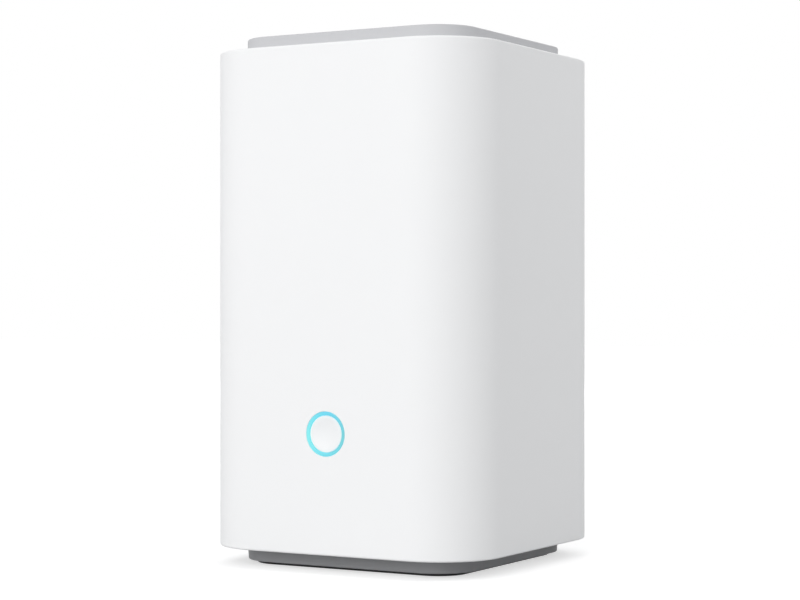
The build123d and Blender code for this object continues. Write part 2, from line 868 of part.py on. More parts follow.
# Button board, screwed to the casing's two bosses
with BuildPart() as button_board:
    slab(upright(button_board_back), button_board_width, button_board_height, board_thickness,
         board_corner, [(0, ring_z)])
    disc(upright(button_board_back), small_screw_radius + slip_gap, board_thickness, button_bosses,
         Mode.SUBTRACT)
save(button_board.part, "button_board")

with BuildPart() as button_board_screws:
    with Locations(*[Location((x, button_board_back, z), (-90, 0, 0)) for x, z in button_bosses]):
        add(screw(small_screw_radius, button_screw_length, small_head_radius, small_head_height))
save(button_board_screws.part, "button_board_screws")

with BuildPart() as button_switch:
    switch_front = -button_board_front - switch_height
    slab(upright(-button_board_front, ring_z), switch_side, switch_side, switch_height)
    disc(upright(switch_front + switch_pocket_depth, ring_z), switch_stem_radius + thread_gap,
         switch_pocket_depth, mode=Mode.SUBTRACT)
save(button_switch.part, "button_switch")

with BuildPart() as button_switch_stem:
    disc(upright(switch_front + switch_stem_depth, ring_z), switch_stem_radius,
         switch_stem_depth + switch_stem_proud)
save(button_switch_stem.part, "button_switch_stem")

with BuildPart() as ring_leds:
    with BuildSketch(upright(-button_board_front, ring_z)) as led_outline:
        with PolarLocations(led_radius, led_count, start_angle=180 / led_count):
            Rectangle(led_width, led_length)
    extrude(led_outline.sketch, amount=led_height)
save(ring_leds.part, "ring_leds")

# Flat ribbon from the back of the button board, down and through a chassis window to the main board
ribbon_y = button_board_back + ribbon_socket_height / 2
ribbon_z = board_top + ribbon_socket_height / 2
lower_socket_y = -main_board_front + ribbon_socket_depth / 2
with BuildPart() as ribbon_sockets:
    slot_width = ribbon_width + 2 * slip_gap
    slot_depth = ribbon_insert + seat_gap
    slab(upright(button_board_back + ribbon_socket_height), ribbon_socket_width, ribbon_socket_depth,
         ribbon_socket_height, 0.0, [(ribbon_x, upper_socket_z)])
    slab(level(upper_socket_z - ribbon_socket_depth / 2), slot_width, ribbon_slot, slot_depth, 0.0,
         [(ribbon_x, ribbon_y)], Mode.SUBTRACT)
    slab(level(board_top), ribbon_socket_width, ribbon_socket_depth, ribbon_socket_height, 0.0,
         [(ribbon_x, lower_socket_y)])
    slab(upright(slot_depth - main_board_front), slot_width, ribbon_slot, slot_depth, 0.0,
         [(ribbon_x, ribbon_z)], Mode.SUBTRACT)
save(ribbon_sockets.part, "ribbon_sockets")

with BuildPart() as button_ribbon:
    ribbon_start = upper_socket_z - ribbon_socket_depth / 2 + ribbon_insert
    with BuildSketch(Plane.YZ.offset(ribbon_x - ribbon_width / 2)) as ribbon_side:
        with BuildLine():
            FilletPolyline(
                (ribbon_y, ribbon_start),
                (ribbon_y, ribbon_z),
                (ribbon_insert - main_board_front, ribbon_z),
                radius=ribbon_bend,
            )
        trace(line_width=ribbon_thickness)
    extrude(ribbon_side.sketch, amount=ribbon_width)
save(button_ribbon.part, "button_ribbon")

# Main board on the base's standoffs
heatsink_pins_at = heatsink_side / 2 - heatsink_pin_inset
pin_places = [
    (processor_x - heatsink_pins_at, processor_y - heatsink_pins_at),
    (processor_x + heatsink_pins_at, processor_y + heatsink_pins_at),
]
with BuildPart() as main_board:
    main_board_depth = main_board_front + main_board_rear
    slab(level(main_board_z), 2 * board_half, main_board_depth, board_thickness, board_corner,
         [(0, (main_board_rear - main_board_front) / 2)])
    disc(level(main_board_z), small_screw_radius + slip_gap, board_thickness, standoff_places,
         Mode.SUBTRACT)
    disc(level(main_board_z), pin_shaft_radius + slip_gap, board_thickness, pin_places, Mode.SUBTRACT)
save(main_board.part, "main_board")

with BuildPart() as board_screws:
    with Locations(*[(x, y, board_top) for x, y in standoff_places]):
        add(screw(small_screw_radius, board_screw_length, small_head_radius, small_head_height))
save(board_screws.part, "board_screws")

# Processor, thermal pad and finned heatsink, held down by two pins through the board
pad_bottom = board_top + processor_height
heatsink_bottom = pad_bottom + pad_height
fins_bottom = heatsink_bottom + heatsink_plate
processor_place = [(processor_x, processor_y)]
with BuildPart() as processor:
    slab(level(board_top), processor_side, processor_side, processor_height, 0.0, processor_place)
save(processor.part, "processor")

with BuildPart() as thermal_pad:
    slab(level(pad_bottom), processor_side, processor_side, pad_height, 0.0, processor_place)
save(thermal_pad.part, "thermal_pad")

with BuildPart() as heatsink:
    slab(level(heatsink_bottom), heatsink_side, heatsink_side, heatsink_plate, 0.0, processor_place)
    fin_pitch = (heatsink_side - heatsink_fin_thickness) / (heatsink_fin_count - 1)
    fin_places = [
        (processor_x + (i - (heatsink_fin_count - 1) / 2) * fin_pitch, processor_y)
        for i in range(heatsink_fin_count)
    ]
    slab(level(fins_bottom), heatsink_fin_thickness, heatsink_side, heatsink_fin_height, 0.0, fin_places)
    slab(level(fins_bottom), heatsink_notch, heatsink_notch, heatsink_fin_height, 0.0, pin_places,
         Mode.SUBTRACT)
    disc(level(heatsink_bottom), pin_shaft_radius + slip_gap, heatsink_plate, pin_places, Mode.SUBTRACT)
save(heatsink.part, "heatsink")

with BuildPart() as heatsink_pins:
    tail_top = main_board_z - slip_gap
    tail_radius = (pin_shaft_radius + pin_head_radius) / 2
    disc(level(fins_bottom), pin_head_radius, pin_head_height, pin_places)
    disc(level(tail_top), pin_shaft_radius, fins_bottom - tail_top, pin_places)
    with BuildSketch(level(tail_top)) as tails:
        with Locations(*pin_places):
            Circle(tail_radius)
    with BuildSketch(level(tail_top - pin_tail)) as tips:
        with Locations(*pin_places):
            Circle(pin_shaft_radius / 2)
    for tail, tip in zip(tails.sketch.faces(), tips.sketch.faces()):
        loft([tip, tail])
save(heatsink_pins.part, "heatsink_pins")

# Small parts on the main board
with BuildPart() as memory_chips:
    memory_places = [(memory_x, memory_y + side * memory_pitch / 2) for side in (-1, 1)]
    slab(level(board_top), memory_width, memory_depth, memory_height, 0.0, memory_places)
save(memory_chips.part, "memory_chips")

with BuildPart() as power_chips:
    slab(level(board_top), chip_side, chip_side, chip_height, 0.0,
         [(flash_x, flash_y), (power_chip_x, power_chip_y)])
save(power_chips.part, "power_chips")

with BuildPart() as power_inductors:
    inductor_places = [
        (-inductor_x - inductor_pitch / 2, inductor_y),
        (-inductor_x + inductor_pitch / 2, inductor_y),
    ]
    slab(level(board_top), inductor_side, inductor_side, inductor_height, inductor_corner,
         inductor_places)
save(power_inductors.part, "power_inductors")

with BuildPart() as capacitors:
    capacitor_row = [i - (capacitor_count - 1) / 2 for i in range(capacitor_count)]
    capacitor_places = [(-capacitor_x, capacitor_y + i * capacitor_pitch) for i in capacitor_row]
    slab(level(board_top), capacitor_side, capacitor_side, capacitor_base_height, 0.0, capacitor_places)
    disc(level(board_top), capacitor_radius, capacitor_height, capacitor_places)
save(capacitors.part, "capacitors")

with BuildPart() as lan_transformer:
    slab(level(board_top), transformer_width, transformer_depth, transformer_height, 0.0,
         [(transformer_x, transformer_y)])
save(lan_transformer.part, "lan_transformer")

with BuildPart() as speaker_socket:
    slab(level(board_top), speaker_socket_width, speaker_socket_depth, speaker_socket_height, 0.0,
         [(speaker_socket_x, speaker_socket_y)])
save(speaker_socket.part, "speaker_socket")

with BuildPart() as radio_module:
    slab(level(board_top), radio_width, radio_depth, radio_board_thickness, 0.0, [(radio_x, radio_y)])
save(radio_module.part, "radio_module")

with BuildPart() as radio_shield:
    shield_bottom = board_top + radio_board_thickness
    shield_width = radio_width - 2 * radio_shield_margin
    shield_depth = radio_depth - 2 * radio_shield_margin
    slab(level(shield_bottom), shield_width, shield_depth, radio_shield_height, 0.0,
         [(radio_x, radio_y)])
    slab(level(shield_bottom), shield_width - 2 * radio_shield_wall, shield_depth - 2 * radio_shield_wall,
         radio_shield_height - radio_shield_wall, 0.0, [(radio_x, radio_y)], Mode.SUBTRACT)
save(radio_shield.part, "radio_shield")

with BuildPart() as coax_sockets:
    coax_places = [(side * coax_x, k * coax_pitch - coax_front) for side in (-1, 1) for k in (0, 1)]
    disc(level(board_top), coax_radius, coax_height, coax_places)
save(coax_sockets.part, "coax_sockets")

# Port panel: a plate inside the chassis with a wall that lines the bay out to the casing's back
lan_z = board_top + lan_height / 2
dc_z = board_top + dc_bore_rise
reset_z = board_top + reset_rise
board_middle = main_board_z + board_thickness / 2
upper_slot_z = board_top + card_tray_height + (card_socket_height - card_shell_wall - card_tray_height) / 2
lower_slot_z = 2 * board_middle - upper_slot_z
hinge_x = card_x + card_cover_width / 2 - hinge_radius
hinge_y = panel_face + hinge_stand_off
cover_bottom = board_middle - card_cover_height / 2
cover_top = board_middle + card_cover_height / 2
lower_lug_bottom = cover_bottom - slip_gap - hinge_lug_height
upper_lug_bottom = cover_top + slip_gap
with BuildPart() as port_panel:
    plate_width = bay_width + 2 * panel_flange
    plate_height = bay_height + 2 * panel_flange
    tray_width = bay_width - 2 * seat_gap
    tray_height = bay_height - 2 * seat_gap
    tray_corner = bay_corner - seat_gap
    tray_back = half_width - panel_set_back
    slab(upright(panel_face, bay_z), plate_width, plate_height, panel_plate, bay_corner)
    slab(upright(tray_back, bay_z), tray_width, tray_height, tray_back - panel_face, tray_corner)
    slab(upright(tray_back, bay_z), tray_width - 2 * panel_wall, tray_height - 2 * panel_wall,
         tray_back - panel_face, tray_corner - panel_wall, mode=Mode.SUBTRACT)
    # Lugs for the card cover's pin
    for lug_bottom in (lower_lug_bottom, upper_lug_bottom):
        with BuildSketch(level(lug_bottom)) as lug:
            with Locations((hinge_x, (panel_face + hinge_y) / 2)):
                Rectangle(2 * hinge_radius, hinge_stand_off)
            with Locations((hinge_x, hinge_y)):
                Circle(hinge_radius)
        extrude(lug.sketch, amount=hinge_lug_height)
    pin_length = upper_lug_bottom + hinge_lug_height - lower_lug_bottom
    disc(level(lower_lug_bottom), hinge_pin_radius + hinge_gap, pin_length, [(hinge_x, hinge_y)],
         Mode.SUBTRACT)
    # Openings for the sockets
    slab(upright(panel_face), lan_width + 2 * slip_gap, lan_height + 2 * slip_gap, panel_plate, 0.0,
         [(lan_x, lan_z)], Mode.SUBTRACT)
    disc(upright(panel_face), dc_nose_radius + slip_gap, panel_plate, [(dc_x, dc_z)], Mode.SUBTRACT)
    disc(upright(panel_face), reset_hole_radius, panel_plate, [(reset_x, reset_z)], Mode.SUBTRACT)
    slab(upright(panel_face), card_slot_width, card_slot_height, panel_plate, 0.0,
         [(card_x, upper_slot_z), (card_x, lower_slot_z)], Mode.SUBTRACT)
save(port_panel.part, "port_panel")

# LAN jack: a metal shell, a plastic insert with the keyed mouth, and eight sprung contacts
mouth_top = board_top + lan_mouth_rise + lan_mouth_height
mouth_bottom = board_top + lan_mouth_rise
key_bottom = mouth_bottom - lan_key_height
latch_bottom = key_bottom - lan_latch_height
mouth_end = panel_face - lan_wall - lan_mouth_depth
with BuildPart() as lan_jack_shell:
    lan_middle = [(lan_x, lan_front + lan_length / 2)]
    slab(level(board_top), lan_width, lan_length, lan_height, 0.0, lan_middle)
    slab(level(board_top), lan_width - 2 * lan_wall, lan_length - 2 * lan_wall, lan_height - lan_wall, 0.0,
         lan_middle, Mode.SUBTRACT)
    window_bottom = latch_bottom - seat_gap
    window_top = mouth_top + seat_gap
    slab(upright(panel_face), lan_mouth_width + 2 * seat_gap, window_top - window_bottom, lan_wall, 0.0,
         [(lan_x, (window_top + window_bottom) / 2)], Mode.SUBTRACT)
save(lan_jack_shell.part, "lan_jack_shell")

with BuildPart() as lan_jack_insert:
    insert_gap = lan_wall + slip_gap
    slab(level(board_top + slip_gap), lan_width - 2 * insert_gap, lan_length - 2 * insert_gap,
         lan_height - insert_gap - slip_gap, 0.0, lan_middle)
    with BuildSketch(upright(panel_face - lan_wall)) as mouth:
        with Locations((lan_x, (mouth_bottom + mouth_top) / 2)):
            Rectangle(lan_mouth_width, lan_mouth_height)
        with Locations((lan_x, (key_bottom + mouth_bottom) / 2)):
            Rectangle(lan_key_width, lan_key_height)
        with Locations((lan_x, (latch_bottom + key_bottom) / 2)):
            Rectangle(lan_latch_width, lan_latch_height)
    extrude(mouth.sketch, amount=lan_mouth_depth, mode=Mode.SUBTRACT)
save(lan_jack_insert.part, "lan_jack_insert")

with BuildPart() as lan_jack_contacts:
    for i in range(contact_count):
        contact_x = lan_x + (i - (contact_count - 1) / 2) * contact_pitch - contact_width / 2
        with BuildSketch(Plane.YZ.offset(contact_x)) as contact:
            with BuildLine():
                Polyline(
                    (mouth_end, mouth_top - contact_thickness),
                    (mouth_end + contact_lead, mouth_top - contact_thickness),
                    (mouth_end + lan_mouth_depth / 2, mouth_top - contact_drop),
                    (mouth_end + lan_mouth_depth / 2 + contact_lead, mouth_top - contact_drop / 2),
                )
            trace(line_width=contact_thickness)
        extrude(contact.sketch, amount=contact_width)
save(lan_jack_contacts.part, "lan_jack_contacts")

# Power jack with its centre pin
dc_back = dc_front + dc_length
with BuildPart() as dc_jack:
    slab(level(board_top), dc_width, dc_length, dc_height, 0.0, [(dc_x, (dc_front + dc_back) / 2)])
    disc(upright(panel_face), dc_nose_radius, panel_face - dc_back, [(dc_x, dc_z)])
    disc(upright(panel_face), dc_bore_radius, dc_bore_depth, [(dc_x, dc_z)], Mode.SUBTRACT)
save(dc_jack.part, "dc_jack")

with BuildPart() as dc_pin:
    dc_floor = panel_face - dc_bore_depth
    disc(upright(dc_floor + dc_pin_length), dc_pin_radius, dc_pin_length, [(dc_x, dc_z)])
save(dc_pin.part, "dc_pin")

# Reset switch, reached by a pin through the small hole
stem_end = panel_back - reset_front_gap
reset_face = stem_end - reset_stem_proud
with BuildPart() as reset_switch:
    slab(level(board_top), reset_width, reset_depth, reset_height, 0.0,
         [(reset_x, reset_face - reset_depth / 2)])
    disc(upright(reset_face), reset_stem_radius + thread_gap, reset_pocket_depth, [(reset_x, reset_z)],
         Mode.SUBTRACT)
save(reset_switch.part, "reset_switch")

with BuildPart() as reset_stem:
    disc(upright(stem_end), reset_stem_radius, reset_stem_proud + reset_stem_depth, [(reset_x, reset_z)])
save(reset_stem.part, "reset_stem")

# Two memory card sockets, back to back on the two faces of the board
card_mouth = panel_back - slip_gap
card_y = (card_mouth + card_end) / 2
card_inner_width = card_socket_width - 2 * card_shell_wall
with BuildPart() as card_socket_shells:
    slab(level(board_top), card_socket_width, card_socket_length, card_socket_height, 0.0,
         [(card_x, card_y)])
    slab(level(board_top), card_inner_width, card_socket_length, card_socket_height - card_shell_wall,
         0.0, [(card_x, card_y + card_shell_wall)], Mode.SUBTRACT)
    mirror(about=level(board_middle))
save(card_socket_shells.part, "card_socket_shells")

with BuildPart() as card_socket_trays:
    tray_length = card_socket_length - card_shell_wall - slip_gap
    slab(level(board_top), card_inner_width - 2 * slip_gap, tray_length, card_tray_height, 0.0,
         [(card_x, card_mouth - tray_length / 2)])
    mirror(about=level(board_middle))
save(card_socket_trays.part, "card_socket_trays")

with BuildPart() as upper_card_slider:
    slider_x = card_x + card_inner_width / 2 - slip_gap - slider_width / 2
    slider_y = card_mouth - slip_gap - slider_length / 2
    slab(level(board_top + card_tray_height + slip_gap), slider_width, slider_length, slider_height, 0.0,
         [(slider_x, slider_y)])
save(upper_card_slider.part, "upper_card_slider")

with BuildPart() as lower_card_slider:
    mirror(upper_card_slider.part, about=level(board_middle))
save(lower_card_slider.part, "lower_card_slider")

# Hinged cover over both slots, with a knuckle on a pin and a finger notch
with BuildPart() as card_cover:
    cover_front = panel_face + card_cover_gap
    cover_back = cover_front + card_cover_thickness
    cover_left = card_x - card_cover_width / 2
    with BuildSketch(upright(cover_back, board_middle)) as cover_face:
        with Locations(((cover_left + hinge_x) / 2, 0)):
            Rectangle(hinge_x - cover_left, card_cover_height)
        fillet(cover_face.vertices().group_by(Axis.X)[0], card_cover_corner)
    extrude(cover_face.sketch, amount=card_cover_thickness)
    disc(level(cover_bottom), hinge_radius, card_cover_height, [(hinge_x, hinge_y)])
    disc(level(cover_bottom), hinge_pin_radius + hinge_gap, card_cover_height, [(hinge_x, hinge_y)],
         Mode.SUBTRACT)
    disc(upright(cover_back, board_middle), card_grip_radius, card_grip_depth, [(cover_left, 0)],
         Mode.SUBTRACT)
save(card_cover.part, "card_cover")

with BuildPart() as card_cover_pin:
    disc(level(lower_lug_bottom), hinge_pin_radius, pin_length, [(hinge_x, hinge_y)])
save(card_cover_pin.part, "card_cover_pin")

# Speaker box and baffle, screwed to the chassis's back wall
baffle_face = panel_face
baffle_back = baffle_face - baffle_thickness
frame_screw_places = [
    (sx * speaker_screw_place, sz * speaker_screw_place) for sx in (-1, 1) for sz in (-1, 1)
]
with BuildPart() as speaker_box:
    slab(upright(baffle_back, speaker_z), 2 * box_half_width, 2 * box_half_height, box_depth, box_corner)
    slab(upright(baffle_back, speaker_z), 2 * (box_half_width - box_wall),
         2 * (box_half_height - box_wall), box_depth - box_wall, box_corner - box_wall,
         mode=Mode.SUBTRACT)
    wire_places = [(speaker_socket_x + side * wire_spacing / 2, speaker_socket_y) for side in (-1, 1)]
    box_bottom = speaker_z - box_half_height
    disc(level(box_bottom), wire_radius + wire_hole_gap, box_wall, wire_places, Mode.SUBTRACT)
save(speaker_box.part, "speaker_box")

with BuildPart() as speaker_baffle:
    slab(upright(baffle_face, speaker_z), 2 * baffle_half_width, 2 * baffle_half_height,
         baffle_thickness, baffle_corner)
    disc(upright(baffle_face, speaker_z), basket_rim_radius + shell_gap, baffle_thickness,
         mode=Mode.SUBTRACT)
    disc(upright(baffle_face, speaker_z), small_screw_radius + thread_gap, baffle_thickness,
         box_screw_places + frame_screw_places, Mode.SUBTRACT)
save(speaker_baffle.part, "speaker_baffle")

with BuildPart() as speaker_box_screws:
    with Locations(*[
        Location((x, baffle_back, speaker_z + z), (90, 0, 0)) for x, z in box_screw_places
    ]):
        add(screw(small_screw_radius, box_screw_length, small_head_radius, small_head_height))
save(speaker_box_screws.part, "speaker_box_screws")

# Speaker: basket, magnet, cone with its coil, and surround
frame_face = baffle_face + speaker_frame_thickness
ledge_face = frame_face - basket_ledge_depth
rim_inner_radius = basket_rim_radius - basket_wall
ledge_radius = rim_inner_radius - basket_ledge
basket_bend = baffle_face - basket_straight
basket_end = baffle_face - basket_depth
slot_outer_radius = magnet_slot_radius + magnet_slot_width / 2
slot_inner_radius = magnet_slot_radius - magnet_slot_width / 2
roll_outer = surround_roll + surround_wall / 2
roll_inner = surround_roll - surround_wall / 2
roll_centre_radius = ledge_radius - slip_gap - roll_outer
cone_radius = roll_centre_radius - roll_outer - slip_gap
with BuildPart() as speaker_basket:
    slab(upright(frame_face, speaker_z), speaker_frame_side, speaker_frame_side,
         speaker_frame_thickness, speaker_frame_corner)
    disc(upright(frame_face, speaker_z), rim_inner_radius, speaker_frame_thickness, mode=Mode.SUBTRACT)
    turn_about_depth(speaker_z, [
        (basket_rim_radius, frame_face),
        (basket_rim_radius, basket_bend),
        (basket_back_radius, basket_end),
        (slot_outer_radius, basket_end),
        (slot_outer_radius, basket_end + basket_wall),
        (basket_back_radius - basket_wall, basket_end + basket_wall),
        (rim_inner_radius, basket_bend),
        (ledge_radius, ledge_face - basket_wall),
        (ledge_radius, ledge_face),
        (rim_inner_radius, ledge_face),
        (rim_inner_radius, frame_face),
    ])
    with BuildSketch(upright(basket_bend - basket_wall, speaker_z)) as basket_windows:
        with PolarLocations(basket_back_radius + basket_wall, basket_window_count, start_angle=45):
            Rectangle(basket_window_width, basket_window_width)
    extrude(basket_windows.sketch, amount=basket_window_depth, mode=Mode.SUBTRACT)
    disc(upright(frame_face, speaker_z), small_screw_radius + slip_gap, speaker_frame_thickness,
         frame_screw_places, Mode.SUBTRACT)
save(speaker_basket.part, "speaker_basket")

with BuildPart() as speaker_magnet:
    disc(upright(basket_end, speaker_z), basket_back_radius, magnet_depth)
    with BuildSketch(upright(basket_end, speaker_z)) as coil_slot:
        Circle(slot_outer_radius)
        Circle(slot_inner_radius, mode=Mode.SUBTRACT)
    extrude(coil_slot.sketch, amount=magnet_slot_depth, mode=Mode.SUBTRACT)
save(speaker_magnet.part, "speaker_magnet")

with BuildPart() as speaker_cone:
    neck_y = ledge_face - cone_depth
    coil_outer_radius = magnet_slot_radius + coil_wall / 2
    coil_inner_radius = magnet_slot_radius - coil_wall / 2
    coil_end = basket_end - coil_reach
    dome_radius = (coil_outer_radius**2 + dome_rise**2) / (2 * dome_rise)
    dome_centre = neck_y + dome_rise - dome_radius
    dome_angle = math.degrees(math.asin(coil_outer_radius / dome_radius))
    inner_radius = dome_radius - cone_wall
    inner_angle = math.degrees(math.asin(coil_inner_radius / inner_radius))
    with BuildSketch(level(speaker_z)) as cone_side:
        with BuildLine():
            outer_dome = CenterArc((0, dome_centre), dome_radius, 90 - dome_angle, dome_angle)
            inner_dome = CenterArc((0, dome_centre), inner_radius, 90 - inner_angle, inner_angle)
            Polyline(
                outer_dome @ 0,
                (cone_radius, ledge_face),
                (cone_radius, ledge_face - cone_wall),
                (coil_outer_radius, neck_y - cone_wall),
                (coil_outer_radius, coil_end),
                (coil_inner_radius, coil_end),
                inner_dome @ 0,
            )
            Line(inner_dome @ 1, outer_dome @ 1)
        make_face()
    revolve(cone_side.sketch, axis=Axis((0, 0, speaker_z), (0, 1, 0)))
save(speaker_cone.part, "speaker_cone")

with BuildPart() as speaker_surround:
    roll_centre_y = ledge_face + surround_wall / 2
    foot_end = rim_inner_radius - slip_gap
    surround_foot = foot_end - roll_centre_radius - roll_inner
    foot_offset = roll_inner + surround_foot / 2
    with BuildSketch(level(speaker_z)) as surround_side:
        with Locations((roll_centre_radius, roll_centre_y)):
            Circle(roll_outer)
            Circle(roll_inner, mode=Mode.SUBTRACT)
        with Locations((roll_centre_radius, roll_centre_y + roll_outer / 2)):
            Rectangle(2 * roll_outer, roll_outer, mode=Mode.SUBTRACT)
        with Locations(
            (roll_centre_radius + foot_offset, roll_centre_y),
            (roll_centre_radius - foot_offset, roll_centre_y),
        ):
            Rectangle(surround_foot, surround_wall)
    revolve(surround_side.sketch, axis=Axis((0, 0, speaker_z), (0, 1, 0)))
save(speaker_surround.part, "speaker_surround")

with BuildPart() as speaker_gasket:
    with BuildSketch(upright(inside, speaker_z)) as gasket:
        Circle(gasket_outer_radius)
        Circle(gasket_inner_radius, mode=Mode.SUBTRACT)
    extrude(gasket.sketch, amount=inside - frame_face)
save(speaker_gasket.part, "speaker_gasket")

with BuildPart() as speaker_screws:
    with Locations(*[
        Location((x, frame_face, speaker_z + z), (-90, 0, 0)) for x, z in frame_screw_places
    ]):
        add(screw(small_screw_radius, speaker_screw_length, small_head_radius, small_head_height))
save(speaker_screws.part, "speaker_screws")

# Two wires from the socket up through the shelf and the box's floor to the basket
with BuildPart() as speaker_wires:
    wire_bottom = board_top + speaker_socket_height
    wire_turn_z = box_bottom + wire_rise
    wire_end_y = basket_bend - wire_end_back
    basket_slope = (basket_rim_radius - basket_back_radius) / (basket_bend - basket_end)
    wire_end_z = speaker_z - basket_rim_radius + basket_slope * wire_end_back - 2 * wire_radius
    for x, y in wire_places:
        with BuildLine() as wire_path:
            FilletPolyline(
                (x, y, wire_bottom),
                (x, y, wire_turn_z),
                (x, wire_end_y, wire_end_z),
                radius=wire_bend,
            )
        with BuildSketch(level(wire_bottom)) as wire_section:
            with Locations((x, y)):
                Circle(wire_radius)
        sweep(wire_section.sketch, path=wire_path.line)
save(speaker_wires.part, "speaker_wires")

# Antennas on the chassis's side walls, each with a coaxial lead to its socket on the board
antenna_x = chassis_inner - antenna_thickness
lead_x = chassis_inner - lead_wall_gap - lead_radius
lead_z = board_top + coax_height + lead_radius
lead_end_z = antenna_bottom - slip_gap
with BuildPart() as antenna_boards:
    antenna_middle = antenna_bottom + antenna_height / 2
    antenna_places = [(antenna_front_y, antenna_middle), (antenna_rear_y, antenna_middle)]
    slab(Plane.YZ.offset(antenna_x), antenna_width, antenna_height, antenna_thickness, 0.0,
         antenna_places)
    mirror(about=Plane.YZ)
save(antenna_boards.part, "antenna_boards")

with BuildPart() as antenna_leads:
    front_y = -coax_front
    rear_y = coax_pitch - coax_front
    lead_routes = [
        [(coax_x, front_y, lead_z), (lead_x, front_y, lead_z), (lead_x, front_y, lead_end_z)],
        [
            (coax_x, rear_y, lead_z),
            (lead_x, rear_y, lead_z),
            (lead_x, rear_y, lead_turn_z),
            (lead_x, antenna_rear_y, lead_turn_z),
            (lead_x, antenna_rear_y, lead_end_z),
        ],
    ]
    for route in lead_routes:
        with BuildLine() as lead_path:
            FilletPolyline(*route, radius=lead_bend)
        with BuildSketch(Plane(origin=route[0], z_dir=(1, 0, 0))) as lead_section:
            Circle(lead_radius)
        sweep(lead_section.sketch, path=lead_path.line)
    disc(level(board_top + coax_height), coax_radius, 2 * lead_radius, [
        (coax_x, front_y), (coax_x, rear_y)
    ])
    mirror(about=Plane.YZ)
save(antenna_leads.part, "antenna_leads")
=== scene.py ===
import json
import math
import bmesh
import bpy
from mathutils import Matrix, Vector
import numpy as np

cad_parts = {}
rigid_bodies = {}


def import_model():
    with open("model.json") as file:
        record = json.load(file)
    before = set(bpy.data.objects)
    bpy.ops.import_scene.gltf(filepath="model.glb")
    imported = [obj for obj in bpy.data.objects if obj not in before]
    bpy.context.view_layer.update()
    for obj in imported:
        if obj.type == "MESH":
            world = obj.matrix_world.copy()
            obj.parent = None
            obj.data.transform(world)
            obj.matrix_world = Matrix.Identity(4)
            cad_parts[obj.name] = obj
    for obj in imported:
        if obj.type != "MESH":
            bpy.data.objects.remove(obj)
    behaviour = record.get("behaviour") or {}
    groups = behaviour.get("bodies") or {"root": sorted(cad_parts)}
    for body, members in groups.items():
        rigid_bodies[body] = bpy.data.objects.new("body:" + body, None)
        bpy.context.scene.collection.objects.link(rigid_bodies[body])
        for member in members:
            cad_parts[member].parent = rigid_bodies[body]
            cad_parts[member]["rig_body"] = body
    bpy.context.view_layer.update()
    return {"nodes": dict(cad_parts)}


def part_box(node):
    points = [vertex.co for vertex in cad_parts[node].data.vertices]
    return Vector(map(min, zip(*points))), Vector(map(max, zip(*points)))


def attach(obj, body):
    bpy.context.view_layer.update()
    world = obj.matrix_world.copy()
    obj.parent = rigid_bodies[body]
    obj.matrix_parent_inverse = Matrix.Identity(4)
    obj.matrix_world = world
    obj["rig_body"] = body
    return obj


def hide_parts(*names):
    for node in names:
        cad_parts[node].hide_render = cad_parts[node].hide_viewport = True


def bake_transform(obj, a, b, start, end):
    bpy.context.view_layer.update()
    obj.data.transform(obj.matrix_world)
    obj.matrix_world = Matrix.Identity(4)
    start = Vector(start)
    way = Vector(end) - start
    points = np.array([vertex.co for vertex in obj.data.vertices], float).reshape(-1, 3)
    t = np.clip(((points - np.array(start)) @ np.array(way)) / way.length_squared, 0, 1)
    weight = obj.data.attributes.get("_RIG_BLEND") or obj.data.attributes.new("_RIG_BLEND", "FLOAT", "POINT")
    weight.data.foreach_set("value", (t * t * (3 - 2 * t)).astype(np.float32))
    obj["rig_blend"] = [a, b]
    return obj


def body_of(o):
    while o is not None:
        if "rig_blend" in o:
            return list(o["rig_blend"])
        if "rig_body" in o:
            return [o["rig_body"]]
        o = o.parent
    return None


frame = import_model()
nodes = frame["nodes"]
print("frame loaded,", len(nodes), "solids")


def mm(value):
    return value / 1000


def boxOf(node):
    # lowest and highest corner of a CAD node at rest, in millimetres
    low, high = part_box(node)
    return Vector(low) * 1000, Vector(high) * 1000


casingLow, casingHigh = boxOf("casing")
capLow, capHigh = boxOf("top_cap")
ringLow, ringHigh = boxOf("light_ring")
coneLow, coneHigh = boxOf("speaker_cone")
ringHeight = (ringLow.z + ringHigh.z) / 2


class ShaderValue:
    # a number or colour on its way through a material; sums with it add Math nodes
    def __init__(self, paint, socket):
        self.paint = paint
        self.socket = socket

    def joined(self, operation, first, second):
        return self.paint.node("Math", {"operation": operation}, {0: first, 1: second})

    def __add__(self, other):
        return self.joined("ADD", self, other)

    def __radd__(self, other):
        return self.joined("ADD", other, self)

    def __sub__(self, other):
        return self.joined("SUBTRACT", self, other)

    def __mul__(self, other):
        return self.joined("MULTIPLY", self, other)


